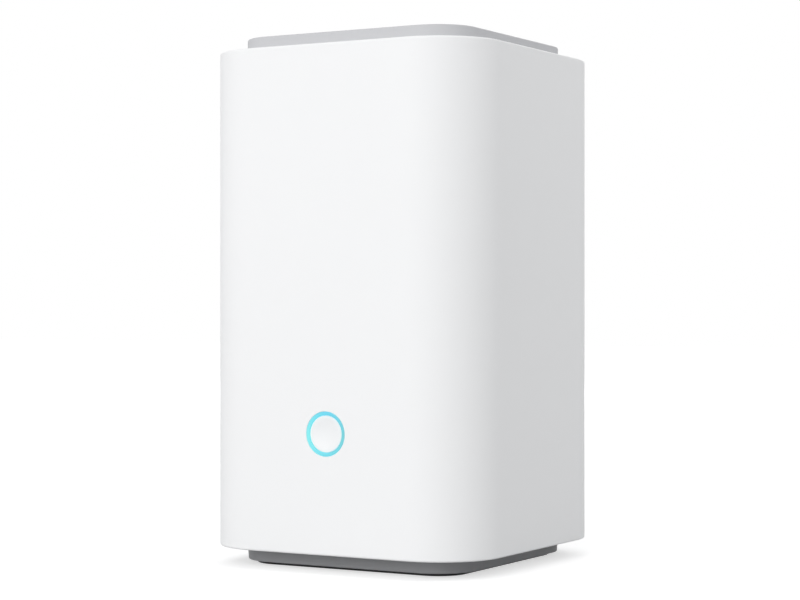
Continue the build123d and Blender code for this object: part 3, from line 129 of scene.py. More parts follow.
class NodeSheet:
    # the nodes of one material or of the world
    def __init__(self, tree):
        self.tree = tree
        self.tree.nodes.clear()

    def feed(self, socket, value):
        if isinstance(value, ShaderValue):
            self.tree.links.new(value.socket, socket)
        else:
            socket.default_value = value

    def node(self, kind, settings=None, inputs=None, output=0):
        made = self.tree.nodes.new("ShaderNode" + kind)
        for name, value in (settings or {}).items():
            if name == "stops":
                self.setStops(made.color_ramp, value)
            else:
                setattr(made, name, value)
        for key, value in (inputs or {}).items():
            self.feed(made.inputs[key], value)
        return ShaderValue(self, made.outputs[output])

    def setStops(self, ramp, stops):
        while len(ramp.elements) < len(stops):
            ramp.elements.new(1.0)
        for element, (position, colour) in zip(ramp.elements, stops):
            element.position = position
            element.color = toned(colour)

    def mixed(self, factor, first, second):
        return self.node("Mix", {"data_type": "RGBA"}, {0: factor, 6: first, 7: second}, 2)

    def tones(self, mask, colour, atZero, atOne):
        # one colour, darker or paler where the mask is 0 and where it is 1
        return self.mixed(mask, toned(colour, atZero), toned(colour, atOne))

    def seenStraight(self):
        # 1 for what the camera, a mirror or glass sees, 0 for light that bounces off matt surfaces
        rays = ("Is Camera Ray", "Is Glossy Ray", "Is Transmission Ray")
        camera, glossy, through = [self.node("LightPath", output=ray) for ray in rays]
        return camera + glossy + through

    def end(self, kind, shader):
        output = self.tree.nodes.new("ShaderNodeOutput" + kind)
        self.tree.links.new(shader, output.inputs["Surface"])


class Paint(NodeSheet):
    # one material and the Principled shader that it ends in
    def __init__(self, name):
        self.material = bpy.data.materials.new(name)
        self.material.use_nodes = True
        super().__init__(self.material.node_tree)
        self.shader = self.tree.nodes.new("ShaderNodeBsdfPrincipled")
        self.end("Material", self.shader.outputs[0])
        self.place = self.node("TexCoord", output="Object")

    def along(self, axis):
        return self.node("SeparateXYZ", {}, {0: self.place}, axis)

    def noise(self, size, detail=2.0, stretch=(1.0, 1.0, 1.0)):
        # size is the width of one speck in millimetres
        where = self.node("Mapping", {}, {"Vector": self.place, "Scale": stretch})
        return self.node("TexNoise", {}, {"Vector": where, "Scale": 1 / mm(size), "Detail": detail})

    def bumps(self, height, depth, strength):
        return self.node("Bump", {}, {"Strength": strength, "Distance": mm(depth), "Height": height})

    def finish(self, inputs):
        for name, value in inputs.items():
            self.feed(self.shader.inputs[name], value)
        return self.material


def toned(colour, share=1.0):
    # a colour with its fourth channel, darkened or lightened by a share
    return tuple(channel * share for channel in colour) + (1.0,)


def mouldedPlastic(name, look):
    # moulded plastic: slow tone drift, a fine spark-eroded grain and uneven gloss
    paint = Paint(name)
    drift = paint.noise(look["driftSize"], detail=3.0)
    grain = paint.noise(look["grainSize"])
    flowSize = look["driftSize"] * 0.3
    flow = paint.noise(flowSize, stretch=(1.0, 1.0, 0.35))
    uneven = (flow - 0.5) * look["roughDrift"] + (grain - 0.5) * look["roughDrift"]
    return paint.finish({
        "Base Color": paint.tones(drift, look["colour"], atZero=1 - look["driftAmount"],
                                  atOne=1 + look["driftAmount"] * 0.4),
        "Roughness": look["rough"] + uneven,
        "Normal": paint.bumps(grain, look["grainDepth"], look["grainStrength"]),
        "Specular IOR Level": look["shine"],
    })


def softRubber(name, look):
    # rubber and foam: open pores over a matt ground
    paint = Paint(name)
    drift = paint.noise(look["driftSize"], detail=3.0)
    pores = paint.node("TexVoronoi", {"feature": "F1"},
                       {"Vector": paint.place, "Scale": 1 / mm(look["poreSize"])})
    return paint.finish({
        "Base Color": paint.tones(drift, look["colour"], atZero=0.75, atOne=1.2),
        "Roughness": look["rough"] + (drift - 0.5) * look["roughDrift"],
        "Normal": paint.bumps(pores, look["poreDepth"], look["poreStrength"]),
        "Specular IOR Level": look["shine"],
    })


def drawnMetal(name, look):
    # sheet, cast and plated metal with a direction in its scratches
    paint = Paint(name)
    drift = paint.noise(look["driftSize"])
    scratches = paint.noise(look["scratchSize"], detail=3.0, stretch=look["scratchStretch"])
    return paint.finish({
        "Base Color": paint.tones(drift, look["colour"], atZero=0.82, atOne=1.06),
        "Metallic": 1.0,
        "Roughness": look["rough"] + (scratches - 0.5) * look["roughDrift"],
        "Normal": paint.bumps(scratches, look["scratchDepth"], look["scratchStrength"]),
    })


def boardLaminate(name, look):
    # circuit board: lacquer over copper, with the glass weave showing faintly
    paint = Paint(name)
    copper = paint.node("TexBrick", {"offset": 0.5}, {
        "Vector": paint.place,
        "Scale": 1 / mm(look["copperSize"]),
        "Color1": toned(look["colour"]),
        "Color2": toned(look["colour"], 1.5),
        "Mortar": toned(look["colour"], 0.7),
        "Mortar Size": look["gapWidth"],
    })
    weave = paint.noise(look["weaveSize"], detail=1.0)
    return paint.finish({
        "Base Color": paint.mixed(weave * 0.3, copper, toned(look["colour"], 2.0)),
        "Roughness": look["rough"] + weave * look["roughDrift"],
        "Normal": paint.bumps(weave, look["weaveDepth"], look["weaveStrength"]),
    })


def paperCone(name, look):
    # pressed pulp: long fibres in every direction
    paint = Paint(name)
    fibres = paint.noise(look["fibreSize"], detail=6.0, stretch=(1.0, 1.0, 4.0))
    crossed = paint.noise(look["fibreSize"], detail=6.0, stretch=(4.0, 1.0, 1.0))
    pulp = (fibres + crossed) * 0.5
    return paint.finish({
        "Base Color": paint.tones(pulp, look["colour"], atZero=0.6, atOne=1.7),
        "Roughness": look["rough"] + pulp * look["roughDrift"],
        "Normal": paint.bumps(pulp, look["fibreDepth"], look["fibreStrength"]),
    })


def cableJacket(name, look):
    # thin extruded jackets and films: smooth, with faint draw lines
    paint = Paint(name)
    lines = paint.noise(look["lineSize"], stretch=(1.0, 1.0, 0.1))
    return paint.finish({
        "Base Color": paint.tones(lines, look["colour"], atZero=0.8, atOne=1.2),
        "Roughness": look["rough"] + (lines - 0.5) * look["roughDrift"],
        "Normal": paint.bumps(lines, look["lineDepth"], look["lineStrength"]),
    })


def litRing(name, look):
    # frosted ring lit from behind by eight lamps, its colour turning round the ring and painted darker on
    # the right side: painted shade where the dished face turns from the front
    paint = Paint(name)
    upwards = paint.along(2) - mm(ringHeight)
    seenFromFront = paint.node("CombineXYZ", {}, {0: paint.along(0), 1: upwards})
    turn = paint.node("TexGradient", {"gradient_type": "RADIAL"}, {"Vector": seenFromFront}, 1)
    glowAndPaintedShade = paint.node("ValToRGB", {"stops": look["stops"]}, {0: turn})
    frosted = paint.noise(look["frostSize"])
    return paint.finish({
        "Base Color": paint.tones(frosted, look["colour"], atZero=1.0, atOne=0.8),
        "Roughness": look["rough"] + frosted * look["roughDrift"],
        "Normal": paint.bumps(frosted, look["frostDepth"], look["frostStrength"]),
        "Emission Color": paint.mixed(frosted * 0.2, glowAndPaintedShade, toned(look["brightSpeck"])),
        "Emission Strength": 1.0,
    })


plastics = {
    "casing_white": {
        "colour": (0.9, 0.902, 0.905), "rough": 0.58, "roughDrift": 0.06, "shine": 0.2, "driftSize": 60.0,
        "driftAmount": 0.012, "grainSize": 0.22, "grainDepth": 0.006, "grainStrength": 0.35,
    },
    "cap_grey": {
        "colour": (0.56, 0.562, 0.576), "rough": 0.62, "roughDrift": 0.08, "shine": 0.2,
        "driftSize": 40.0, "driftAmount": 0.02, "grainSize": 0.25, "grainDepth": 0.008,
        "grainStrength": 0.4,
    },
    "base_grey": {
        "colour": (0.345, 0.347, 0.357), "rough": 0.5, "roughDrift": 0.08, "shine": 0.15,
        "driftSize": 40.0, "driftAmount": 0.03, "grainSize": 0.25, "grainDepth": 0.01,
        "grainStrength": 0.5,
    },
    "button_white": {
        "colour": (0.875, 0.88, 0.885), "rough": 0.4, "roughDrift": 0.05, "shine": 0.5, "driftSize": 8.0,
        "driftAmount": 0.01, "grainSize": 0.2, "grainDepth": 0.004, "grainStrength": 0.3,
    },
    "inner_white": {
        "colour": (0.78, 0.78, 0.76), "rough": 0.5, "roughDrift": 0.1, "shine": 0.5, "driftSize": 30.0,
        "driftAmount": 0.03, "grainSize": 0.4, "grainDepth": 0.01, "grainStrength": 0.4,
    },
    "inner_black": {
        "colour": (0.028, 0.028, 0.03), "rough": 0.48, "roughDrift": 0.12, "shine": 0.5,
        "driftSize": 20.0, "driftAmount": 0.2, "grainSize": 0.3, "grainDepth": 0.012,
        "grainStrength": 0.5,
    },
    "stem_plastic": {
        "colour": (0.045, 0.045, 0.05), "rough": 0.4, "roughDrift": 0.1, "shine": 0.5, "driftSize": 4.0,
        "driftAmount": 0.15, "grainSize": 0.15, "grainDepth": 0.005, "grainStrength": 0.4,
    },
    "chip_black": {
        "colour": (0.022, 0.022, 0.024), "rough": 0.55, "roughDrift": 0.1, "shine": 0.5, "driftSize": 6.0,
        "driftAmount": 0.2, "grainSize": 0.12, "grainDepth": 0.006, "grainStrength": 0.5,
    },
    "lamp_body": {
        "colour": (0.85, 0.84, 0.72), "rough": 0.3, "roughDrift": 0.08, "shine": 0.5, "driftSize": 1.0,
        "driftAmount": 0.05, "grainSize": 0.1, "grainDepth": 0.003, "grainStrength": 0.3,
    },
    "pin_nylon": {
        "colour": (0.62, 0.6, 0.52), "rough": 0.42, "roughDrift": 0.08, "shine": 0.5, "driftSize": 3.0,
        "driftAmount": 0.06, "grainSize": 0.2, "grainDepth": 0.005, "grainStrength": 0.4,
    },
}
rubbers = {
    "foot_rubber": {
        "colour": (0.035, 0.035, 0.037), "rough": 0.75, "roughDrift": 0.15, "shine": 0.35,
        "driftSize": 8.0, "poreSize": 0.35, "poreDepth": 0.03, "poreStrength": 0.6,
    },
    "pad_soft": {
        "colour": (0.32, 0.38, 0.45), "rough": 0.8, "roughDrift": 0.15, "shine": 0.35, "driftSize": 5.0,
        "poreSize": 0.25, "poreDepth": 0.02, "poreStrength": 0.6,
    },
    "foam_black": {
        "colour": (0.02, 0.02, 0.021), "rough": 0.92, "roughDrift": 0.15, "shine": 0.35, "driftSize": 3.0,
        "poreSize": 0.5, "poreDepth": 0.12, "poreStrength": 0.6,
    },
}
metals = {
    "heatsink_metal": {
        "colour": (0.72, 0.73, 0.75), "rough": 0.38, "roughDrift": 0.25, "driftSize": 15.0,
        "scratchSize": 0.2, "scratchStretch": (1.0, 0.05, 1.0), "scratchDepth": 0.01,
        "scratchStrength": 0.5,
    },
    "steel": {
        "colour": (0.62, 0.62, 0.61), "rough": 0.32, "roughDrift": 0.25, "driftSize": 10.0,
        "scratchSize": 0.15, "scratchStretch": (0.08, 1.0, 1.0), "scratchDepth": 0.006,
        "scratchStrength": 0.5,
    },
    "contact_metal": {
        "colour": (0.86, 0.66, 0.3), "rough": 0.25, "roughDrift": 0.25, "driftSize": 4.0,
        "scratchSize": 0.1, "scratchStretch": (1.0, 0.1, 1.0), "scratchDepth": 0.004,
        "scratchStrength": 0.5,
    },
}
jackets = {
    "cable_black": {
        "colour": (0.03, 0.03, 0.032), "rough": 0.45, "roughDrift": 0.2, "lineSize": 0.3,
        "lineDepth": 0.01, "lineStrength": 0.3,
    },
    "film_orange": {
        "colour": (0.62, 0.24, 0.05), "rough": 0.35, "roughDrift": 0.2, "lineSize": 0.8,
        "lineDepth": 0.01, "lineStrength": 0.3,
    },
}
boards = {
    "board_laminate": {
        "colour": (0.012, 0.07, 0.035), "rough": 0.32, "roughDrift": 0.15,
        "copperSize": 14.0, "gapWidth": 0.12, "weaveSize": 0.5, "weaveDepth": 0.01, "weaveStrength": 0.4,
    },
}
papers = {
    "cone_paper": {
        "colour": (0.03, 0.03, 0.032), "rough": 0.8, "roughDrift": 0.15,
        "fibreSize": 0.6, "fibreDepth": 0.05, "fibreStrength": 0.7,
    },
}
litRings = {
    # the stops turn from the left by the bottom, the right and the top; the darker right stop is painted
    # shade of the ring's dished face
    "ring_clear": {
        "colour": (0.02, 0.06, 0.07), "rough": 0.3, "roughDrift": 0.15, "brightSpeck": (0.3, 0.9, 0.95),
        "frostSize": 0.3, "frostDepth": 0.01, "frostStrength": 0.3,
        "stops": ((0.0, (0.20, 0.76, 0.77)), (0.25, (0.12, 0.61, 0.72)), (0.5, (0.12, 0.50, 0.56)),
                  (0.75, (0.085, 0.56, 0.75)), (1.0, (0.20, 0.76, 0.77))),
    },
}

finishes = {}
for makeFinish, looks in (
    (mouldedPlastic, plastics), (softRubber, rubbers), (drawnMetal, metals), (cableJacket, jackets),
    (boardLaminate, boards), (paperCone, papers), (litRing, litRings),
):
    for slotName, look in looks.items():
        finishes[slotName] = makeFinish(slotName + "_finish", look)
slotOf = {}
for nodeName, node in nodes.items():
    for materialSlot in node.material_slots:
        slotOf[nodeName] = materialSlot.material.name.split(".")[0]
        materialSlot.material = finishes[slotOf[nodeName]]
print("materials made:", len(finishes))

fineGap = 0.0005  # millimetres under which two points of a finished mesh are one
creaseAngle = 28.0  # degrees from which an edge stays sharp
flatWeight = 80  # how far large faces set the shading at their edges


def newObject(name, content):
    made = bpy.data.objects.new(name, content)
    bpy.context.scene.collection.objects.link(made)
    return made


def plainMesh(name, source):
    # the evaluated shape of an object, as a mesh of its own; the source object goes
    bpy.context.view_layer.update()
    graph = bpy.context.evaluated_depsgraph_get()
    mesh = bpy.data.meshes.new_from_object(source.evaluated_get(graph))
    mesh.name = name
    drawn = source.data
    bpy.data.objects.remove(source)
    bpy.data.meshes.remove(drawn)
    return mesh


def tidied(mesh, gap=0.002, fillHoles=False, dissolve=0.0):
    # merge points nearer than the gap, join faces that bend less than the dissolve angle, close
    # open loops and turn every face outwards
    work = bmesh.new()
    work.from_mesh(mesh)
    bmesh.ops.remove_doubles(work, verts=work.verts, dist=mm(gap))
    if dissolve:
        bmesh.ops.dissolve_limit(work, angle_limit=math.radians(dissolve), verts=work.verts,
                                 edges=work.edges)
    if fillHoles:
        bmesh.ops.holes_fill(work, edges=[edge for edge in work.edges if edge.is_boundary])
    bmesh.ops.recalc_face_normals(work, faces=work.faces)
    work.to_mesh(mesh)
    work.free()
    return mesh


def cadCopy(node):
    # a CAD node's loose triangles, joined into whole faces
    return tidied(nodes[node].data.copy(), gap=fineGap, dissolve=0.2)


def smoothShaded(piece):
    piece.data.shade_smooth()
    piece.data.set_sharp_from_angle(angle=math.radians(creaseAngle))
    weighted = piece.modifiers.new("flat faces stay flat", "WEIGHTED_NORMAL")
    weighted.keep_sharp = True
    weighted.weight = flatWeight
    return piece


def roundedEdges(piece, width, angle=40.0):
    bevel = piece.modifiers.new("edge", "BEVEL")
    bevel.width = mm(width)
    bevel.segments = 2
    bevel.limit_method = "ANGLE"
    bevel.angle_limit = math.radians(angle)


def standsFor(piece, node):
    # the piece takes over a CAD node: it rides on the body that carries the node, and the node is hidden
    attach(piece, body_of(nodes[node])[0])
    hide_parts(node)


def roundBlock(name, width, depth, height, corner, steps=8):
    # a block with rounded upright edges, its underside on z 0
    work = bmesh.new()
    outline = []
    for sideX, sideY, turn in ((1, 1, 0), (-1, 1, 90), (-1, -1, 180), (1, -1, 270)):
        for step in range(steps + 1):
            angle = math.radians(turn + 90 * step / steps)
            outline.append((sideX * (width / 2 - corner) + corner * math.cos(angle),
                            sideY * (depth / 2 - corner) + corner * math.sin(angle)))
    lower = [work.verts.new((mm(x), mm(y), 0.0)) for x, y in outline]
    face = work.faces.new(lower)
    grown = bmesh.ops.extrude_face_region(work, geom=[face])
    top = [item for item in grown["geom"] if isinstance(item, bmesh.types.BMVert)]
    bmesh.ops.translate(work, verts=top, vec=(0.0, 0.0, mm(height)))
    bmesh.ops.recalc_face_normals(work, faces=work.faces)
    mesh = bpy.data.meshes.new(name)
    work.to_mesh(mesh)
    work.free()
    return newObject(name, mesh)


def cutAway(piece, cutters):
    # take every cutter out of the piece, then drop the cutters
    for cutter in cutters:
        cut = piece.modifiers.new("cut", "BOOLEAN")
        cut.operation = "DIFFERENCE"
        cut.solver = "EXACT"
        cut.object = cutter
    mesh = plainMesh(piece.name, piece)
    for cutter in cutters:
        bpy.data.objects.remove(cutter)
    return mesh


class NodePlan:
    # one Geometry Nodes tree with named inputs
    def __init__(self, name, inputs):
        self.tree = bpy.data.node_groups.new(name, "GeometryNodeTree")
        face = self.tree.interface
        face.new_socket("Geometry", in_out="INPUT", socket_type="NodeSocketGeometry")
        for label, kind in inputs.items():
            face.new_socket(label, in_out="INPUT", socket_type="NodeSocket" + kind)
        face.new_socket("Geometry", in_out="OUTPUT", socket_type="NodeSocketGeometry")
        self.given = self.tree.nodes.new("NodeGroupInput").outputs
        self.end = self.tree.nodes.new("NodeGroupOutput")

    def add(self, kind, settings=None, inputs=None, output=0):
        made = self.tree.nodes.new(kind)
        for name, value in (settings or {}).items():
            setattr(made, name, value)
        for key, value in (inputs or {}).items():
            if isinstance(value, bpy.types.NodeSocket):
                self.tree.links.new(value, made.inputs[key])
            else:
                made.inputs[key].default_value = value
        return made.outputs[output]

    def maths(self, operation, first, second=0.0):
        return self.add("ShaderNodeMath", {"operation": operation}, {0: first, 1: second})

    def close(self, shape):
        real = self.add("GeometryNodeRealizeInstances", {}, {0: shape})
        painted = self.add("GeometryNodeSetMaterial", {}, {0: real, 2: self.given["Material"]})
        self.tree.links.new(painted, self.end.inputs[0])

    def grown(self, seed, values):
        # run the tree on the seed object and return the plain mesh
        grower = seed.modifiers.new("grown", "NODES")
        grower.node_group = self.tree
        for item in self.tree.interface.items_tree:
            if item.in_out == "INPUT" and item.name in values:
                grower[item.identifier] = values[item.name]
        return plainMesh(seed.name, seed)


def sweptWallPlan():
    # sweeps an upright section round a rounded square; the section's X is outwards, its Y down
    plan = NodePlan("swept wall", {"Width": "Float", "Corner": "Float", "Corner Steps": "Int",
                                   "Material": "Material"})
    square = plan.add("GeometryNodeCurvePrimitiveQuadrilateral", {"mode": "RECTANGLE"},
                      {0: plan.given["Width"], 1: plan.given["Width"]})
    rounded = plan.add("GeometryNodeFilletCurve", {"mode": "POLY"}, {
        "Curve": square,
        "Count": plan.given["Corner Steps"],
        "Radius": plan.given["Corner"],
        "Limit Radius": True,
    })
    level = plan.add("GeometryNodeSetCurveNormal", {"mode": "Z_UP"}, {0: rounded})
    section = plan.add("GeometryNodeMeshToCurve", {}, {0: plan.given["Geometry"]})
    wall = plan.add("GeometryNodeCurveToMesh", {}, {"Curve": level, "Profile Curve": section})
    plan.close(wall)
    return plan


def perforationPlan():
    # bars on a staggered grid inside a round field, each one a cutter for one hole
    plan = NodePlan("perforations", {"Pitch": "Float", "Field Radius": "Float", "Hole Radius": "Float",
                                     "Depth": "Float", "Columns": "Int", "Material": "Material"})
    given = plan.given
    columnPitch = plan.maths("MULTIPLY", given["Pitch"], math.sqrt(3) / 2)
    spans = plan.maths("SUBTRACT", given["Columns"], 1)
    width = plan.maths("MULTIPLY", spans, columnPitch)
    height = plan.maths("MULTIPLY", spans, given["Pitch"])
    grid = plan.add("GeometryNodeMeshGrid", {},
                    {0: width, 1: height, 2: given["Columns"], 3: given["Columns"]})
    where = plan.add("GeometryNodeInputPosition")
    across = plan.add("ShaderNodeSeparateXYZ", {}, {0: where}, 0)
    column = plan.maths("ROUND", plan.maths("DIVIDE", across, columnPitch))
    odd = plan.maths("FLOORED_MODULO", column, 2)
    lift = plan.maths("MULTIPLY", plan.maths("DIVIDE", odd, 2), given["Pitch"])
    move = plan.add("ShaderNodeCombineXYZ", {}, {1: lift})
    staggered = plan.add("GeometryNodeSetPosition", {}, {"Geometry": grid, "Offset": move})
    farness = plan.add("ShaderNodeVectorMath", {"operation": "LENGTH"}, {0: where}, 1)
    outside = plan.add("FunctionNodeCompare", {"operation": "GREATER_THAN"},
                       {0: farness, 1: given["Field Radius"]})
    kept = plan.add("GeometryNodeDeleteGeometry", {"domain": "POINT"}, {0: staggered, 1: outside})
    bar = plan.add("GeometryNodeMeshCylinder", {}, {"Vertices": 20, "Radius": given["Hole Radius"],
                                                    "Depth": given["Depth"]})
    placed = plan.add("GeometryNodeInstanceOnPoints", {}, {"Points": kept, "Instance": bar})
    plan.close(placed)
    return plan


def sectionSeed(name, points, closed=False):
    # points are (inset from the outline, height); drawn as the sweep wants them
    mesh = bpy.data.meshes.new(name)
    edges = [(index, index + 1) for index in range(len(points) - 1)]
    if closed:
        edges.append((len(points) - 1, 0))
    mesh.from_pydata([(-mm(inset), -mm(height), 0.0) for inset, height in points], edges, [])
    return newObject(name, mesh)


def quarterRound(inset, height, radius, start, steps=6):
    # points of a rounded edge about a centre, turning a quarter from the start angle
    turned = []
    for step in range(steps + 1):
        angle = math.radians(start + 90 * step / steps)
        turned.append((inset + radius * math.cos(angle), height + radius * math.sin(angle)))
    return turned


sweptWall = sweptWallPlan()
perforations = perforationPlan()

# casing: a swept wall with its ring hole, port bay and perforated speaker field
casing = {
    "width": casingHigh.x - casingLow.x, "bottom": casingLow.z, "top": casingHigh.z,
    "corner": 20.2, "cornerSteps": 28, "wall": 2.4, "rimRound": 0.6, "edgeRound": 0.12,
    "seatGap": 0.1, "seatInner": 74.4, "seatDepth": 1.0, "flatStart": 2.0, "ringHole": 6.7,
    "bayWidth": 52.0, "bayHeight": 26.0, "bayCorner": 3.0, "bayMiddle": 23.5,
    "holePitch": 4.6, "holeRadius": 0.8, "columns": 11,
    "fieldRadius": 19.0, "fieldHeight": (coneLow.z + coneHigh.z) / 2, "overrun": 1.0,
}


def casingSection(look):
    # half of an upright cut: from the flat top across the cap's seat, over the rim and up inside
    seatInset = (look["width"] - (capHigh.x - capLow.x)) / 2 - look["seatGap"]
    seatEnd = (look["width"] - look["seatInner"]) / 2
    inner = seatEnd + look["flatStart"]
    top, bottom, rim = look["top"], look["bottom"], look["rimRound"]
    ceiling = top - look["wall"]
    points = [(inner, top), (seatEnd, top), (seatEnd, top - look["seatDepth"]),
              (seatInset, top - look["seatDepth"]), (seatInset, top)]
    points += quarterRound(rim, top - rim, rim, 90)
    points += quarterRound(rim, bottom + rim, rim, 180)
    points += [(look["wall"], bottom), (look["wall"], ceiling), (inner, ceiling)]
    return points


def turnedTo(x, y, z, turn):
    # a turn about X in degrees, then a place in millimetres
    return Matrix.Translation((mm(x), mm(y), mm(z))) @ Matrix.Rotation(math.radians(turn), 4, "X")


def casingCutters(look):
    outside = look["width"] / 2 + look["overrun"]
    depth = look["wall"] + 2 * look["overrun"]
    hole = look["ringHole"]
    ring = roundBlock("ring cutter", 2 * hole, 2 * hole, depth, hole, steps=24)
    ring.data.transform(turnedTo(0.0, -outside, ringHeight, -90))
    bay = roundBlock("bay cutter", look["bayWidth"], look["bayHeight"], depth, look["bayCorner"])
    bay.data.transform(turnedTo(0.0, outside, look["bayMiddle"], 90))
    seed = newObject("perforation seed", bpy.data.meshes.new("perforation seed"))
    holes = newObject("perforation cutter", tidied(perforations.grown(seed, {
        "Pitch": mm(look["holePitch"]), "Field Radius": mm(look["fieldRadius"]),
        "Hole Radius": mm(look["holeRadius"]), "Depth": mm(2 * look["wall"] + look["overrun"]),
        "Columns": look["columns"], "Material": finishes["casing_white"],
    })))
    holes.data.transform(turnedTo(0.0, look["width"] / 2, look["fieldHeight"], 90))
    return [ring, bay, holes]


seed = sectionSeed("casing", casingSection(casing))
shell = newObject("casing_shell", tidied(sweptWall.grown(seed, {
    "Width": mm(casing["width"]), "Corner": mm(casing["corner"]), "Corner Steps": casing["cornerSteps"],
    "Material": finishes["casing_white"],
}), fillHoles=True))
shell = newObject("casing_shell", tidied(cutAway(shell, casingCutters(casing)), gap=fineGap))
roundedEdges(shell, casing["edgeRound"], angle=50.0)
smoothShaded(shell)
standsFor(shell, "casing")
print("casing made:", len(shell.data.polygons), "faces")

# light ring: a flanged section swept round a circle, then turned to face the front
ring = {
    "outer": 6.6, "inner": 5.65, "edgeRound": 0.15, "cornerSteps": 24,
    "flange": (ringHigh.x - ringLow.x) / 2, "flangeFront": 2.4, "flangeBack": 3.4,
    "length": ringHigh.y - ringLow.y,
}


def ringOutline(look):
    # closed outline from the inner front edge round to the back, as insets and depths below the face
    width = look["outer"] - look["inner"]
    edge = look["edgeRound"]
    lip = look["outer"] - look["flange"]
    front = quarterRound(width - edge, -edge, edge, 0, steps=4)
    front += quarterRound(edge, -edge, edge, 90, steps=4)
    back = [(0.0, -look["flangeFront"]), (lip, -look["flangeFront"]), (lip, -look["flangeBack"]),
            (0.0, -look["flangeBack"]), (0.0, -look["length"]), (width, -look["length"])]
    return front + back


seed = sectionSeed("light ring section", ringOutline(ring), closed=True)
ringMesh = tidied(sweptWall.grown(seed, {
    "Width": mm(2 * ring["outer"]), "Corner": mm(ring["outer"]), "Corner Steps": ring["cornerSteps"],
    "Material": finishes["ring_clear"],
}))
ringMesh.transform(turnedTo(0.0, ringLow.y, ringHeight, 90))
lightRing = smoothShaded(newObject("light_ring_piece", ringMesh))
standsFor(lightRing, "light_ring")
print("light ring made:", len(ringMesh.polygons), "faces")

# CAD nodes that show: joined copies with smooth curves, and the width of their edge rounds
edgeRounds = {
    "top_cap": 0.0, "base": 0.0, "foot_ring": 0.2, "front_button": 0.0, "port_panel": 0.08,
    "card_cover": 0.12, "card_cover_pin": 0.05, "dc_jack": 0.12, "dc_pin": 0.1, "lan_jack_shell": 0.06,
    "lan_jack_insert": 0.08, "lan_jack_contacts": 0.05, "reset_stem": 0.08, "speaker_basket": 0.0,
    "speaker_cone": 0.0, "speaker_gasket": 0.0, "chassis": 0.0,
}
for nodeName, edgeRound in edgeRounds.items():
    seenPiece = newObject(nodeName + "_piece", cadCopy(nodeName))
    if edgeRound:
        roundedEdges(seenPiece, edgeRound)
    smoothShaded(seenPiece)
    standsFor(seenPiece, nodeName)
print("seen nodes finished:", len(edgeRounds))

# speaker surround: a rubber ring in wedges, each bending between the still basket and the moving
# cone; the first cut is turned a little, clear of the ring's own seam
surround = {"wedges": 8, "firstTurn": 2.3, "stillRadius": 17.3, "movingRadius": 15.8}


def wedgeOf(mesh, centre, start, end):
    # the part of a mesh between two angles round the speaker's axis, closed where it is cut
    work = bmesh.new()
    work.from_mesh(mesh)
    for angle, side in ((start, -1), (end, 1)):
        across = Vector((-math.sin(angle), 0.0, math.cos(angle))) * side
        everything = work.verts[:] + work.edges[:] + work.faces[:]
        bmesh.ops.bisect_plane(work, geom=everything, plane_co=centre, plane_no=across, clear_outer=True)
        bmesh.ops.holes_fill(work, edges=[edge for edge in work.edges if edge.is_boundary])
    bmesh.ops.recalc_face_normals(work, faces=work.faces)
    wedge = bpy.data.meshes.new("wedge")
    work.to_mesh(wedge)
    work.free()
    return wedge


wholeRing = cadCopy("speaker_surround")
speakerCentre = Vector((0.0, mm(coneLow.y + coneHigh.y) / 2, mm(casing["fieldHeight"])))
for count in range(surround["wedges"]):
    start, middle, end = [math.radians(surround["firstTurn"] + 360 * (count + part) / surround["wedges"])
                          for part in (0.0, 0.5, 1.0)]
    wedge = newObject("speaker_surround_" + str(count + 1), wedgeOf(wholeRing, speakerCentre, start, end))
    wedge.data.materials.append(finishes[slotOf["speaker_surround"]])
    smoothShaded(wedge)
    outwards = Vector((math.cos(middle), 0.0, math.sin(middle)))
    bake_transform(wedge, "housing", "cone", start=speakerCentre + outwards * mm(surround["stillRadius"]),
             end=speakerCentre + outwards * mm(surround["movingRadius"]))
    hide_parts("speaker_surround")
print("speaker surround made:", surround["wedges"], "wedges")

# floor, world, lamps and camera
white = (1.0, 1.0, 1.0)
black = (0.0, 0.0, 0.0)
floor = {
    "size": 6.0, "drop": 0.02, "grainSize": 3.0, "colour": (0.58, 0.58, 0.58), "rough": 0.9,
    "liftNear": 0.60, "liftFar": 0.76, "farReach": 1.2,
}
world = {"strength": 0.50, "colour": (0.975, 0.985, 1.0)}
lamps = {
    "key": {"power": 44.0, "size": 2.6, "place": (-0.15, -2.1, 0.85)},
    "fill": {"power": 0.72, "size": 0.35, "place": (0.5, 0.2, 0.42)},
    "back": {"power": 4.5, "size": 0.9, "place": (-0.5, 1.3, 0.8)},
}
lampAim = Vector((0.0, 0.0, 0.08))
camera = {
    "place": (0.3266, -0.5676, 0.0801), "turn": 30.06, "lens": 93.24, "sensorWidth": 36.0,
    "shiftY": 0.0048, "clipStart": 0.01,
}


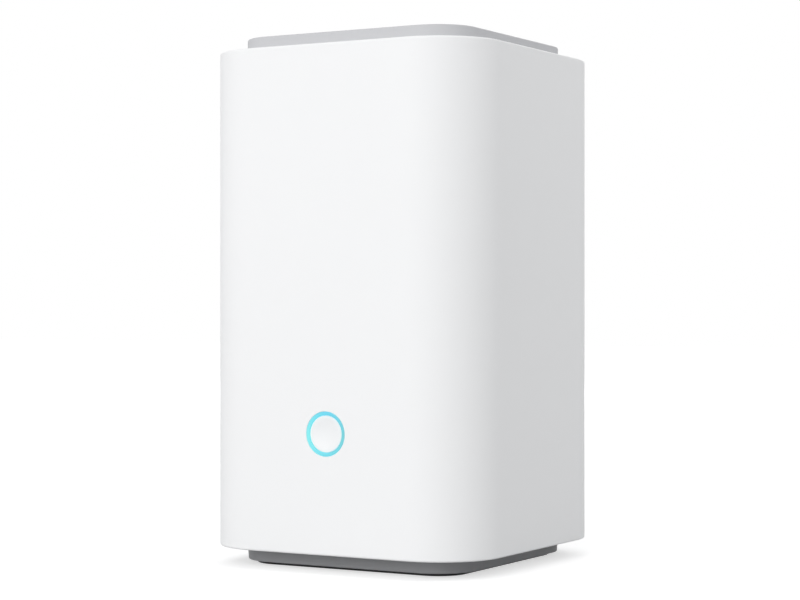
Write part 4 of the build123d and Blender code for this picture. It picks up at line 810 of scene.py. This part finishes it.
def paleFloor(look):
    # lit like any pale board, with a lift for what sees it straight so that it comes out white
    paint = Paint("floor_board")
    grain = paint.noise(look["grainSize"])
    distance = paint.node("VectorMath", {"operation": "LENGTH"}, {0: paint.place}, 1)
    lift = paint.tones(distance * (1 / look["farReach"]), white, look["liftNear"], look["liftFar"])
    material = paint.finish({
        "Base Color": paint.tones(grain, look["colour"], atZero=1.0, atOne=0.99),
        "Roughness": look["rough"],
        "Specular IOR Level": 0.0,
        "Emission Color": paint.mixed(paint.seenStraight(), toned(black), lift),
        "Emission Strength": 1.0,
    })
    half = look["size"] / 2
    low = -mm(look["drop"])
    mesh = bpy.data.meshes.new("floor")
    corners = [(-half, -half, low), (half, -half, low), (half, half, low), (-half, half, low)]
    mesh.from_pydata(corners, [], [(0, 1, 2, 3)])
    mesh.materials.append(material)
    newObject("floor", mesh)


def whiteWorld(look):
    # an even soft light, white where it is seen straight
    made = bpy.data.worlds.new("studio")
    bpy.context.scene.world = made
    made.use_nodes = True
    sheet = NodeSheet(made.node_tree)
    soft = sheet.node("Background", {}, {"Color": toned(look["colour"]), "Strength": look["strength"]})
    plain = sheet.node("Background", {}, {"Color": toned(white), "Strength": 1.0})
    sheet.end("World", sheet.node("MixShader", {}, {0: sheet.seenStraight(), 1: soft, 2: plain}).socket)


def softLamp(name, look):
    lamp = bpy.data.lights.new(name, "AREA")
    lamp.energy = look["power"]
    lamp.shape = "SQUARE"
    lamp.size = look["size"]
    made = newObject(name, lamp)
    made.location = look["place"]
    made.rotation_euler = (lampAim - made.location).to_track_quat("-Z", "Y").to_euler()


def levelCamera(name, look):
    # held level at the object's middle, with a small shift to frame it as the photograph does
    lens = bpy.data.cameras.new(name)
    lens.lens = look["lens"]
    lens.sensor_width = look["sensorWidth"]
    lens.shift_y = look["shiftY"]
    lens.clip_start = look["clipStart"]
    made = newObject(name, lens)
    made.location = look["place"]
    made.rotation_euler = (math.radians(90), 0.0, math.radians(look["turn"]))
    return made


paleFloor(floor)
whiteWorld(world)
for lampName, look in lamps.items():
    softLamp(lampName, look)
bpy.context.scene.camera = levelCamera("photo camera", camera)
bpy.context.scene.view_settings.view_transform = "Standard"
print("studio set")
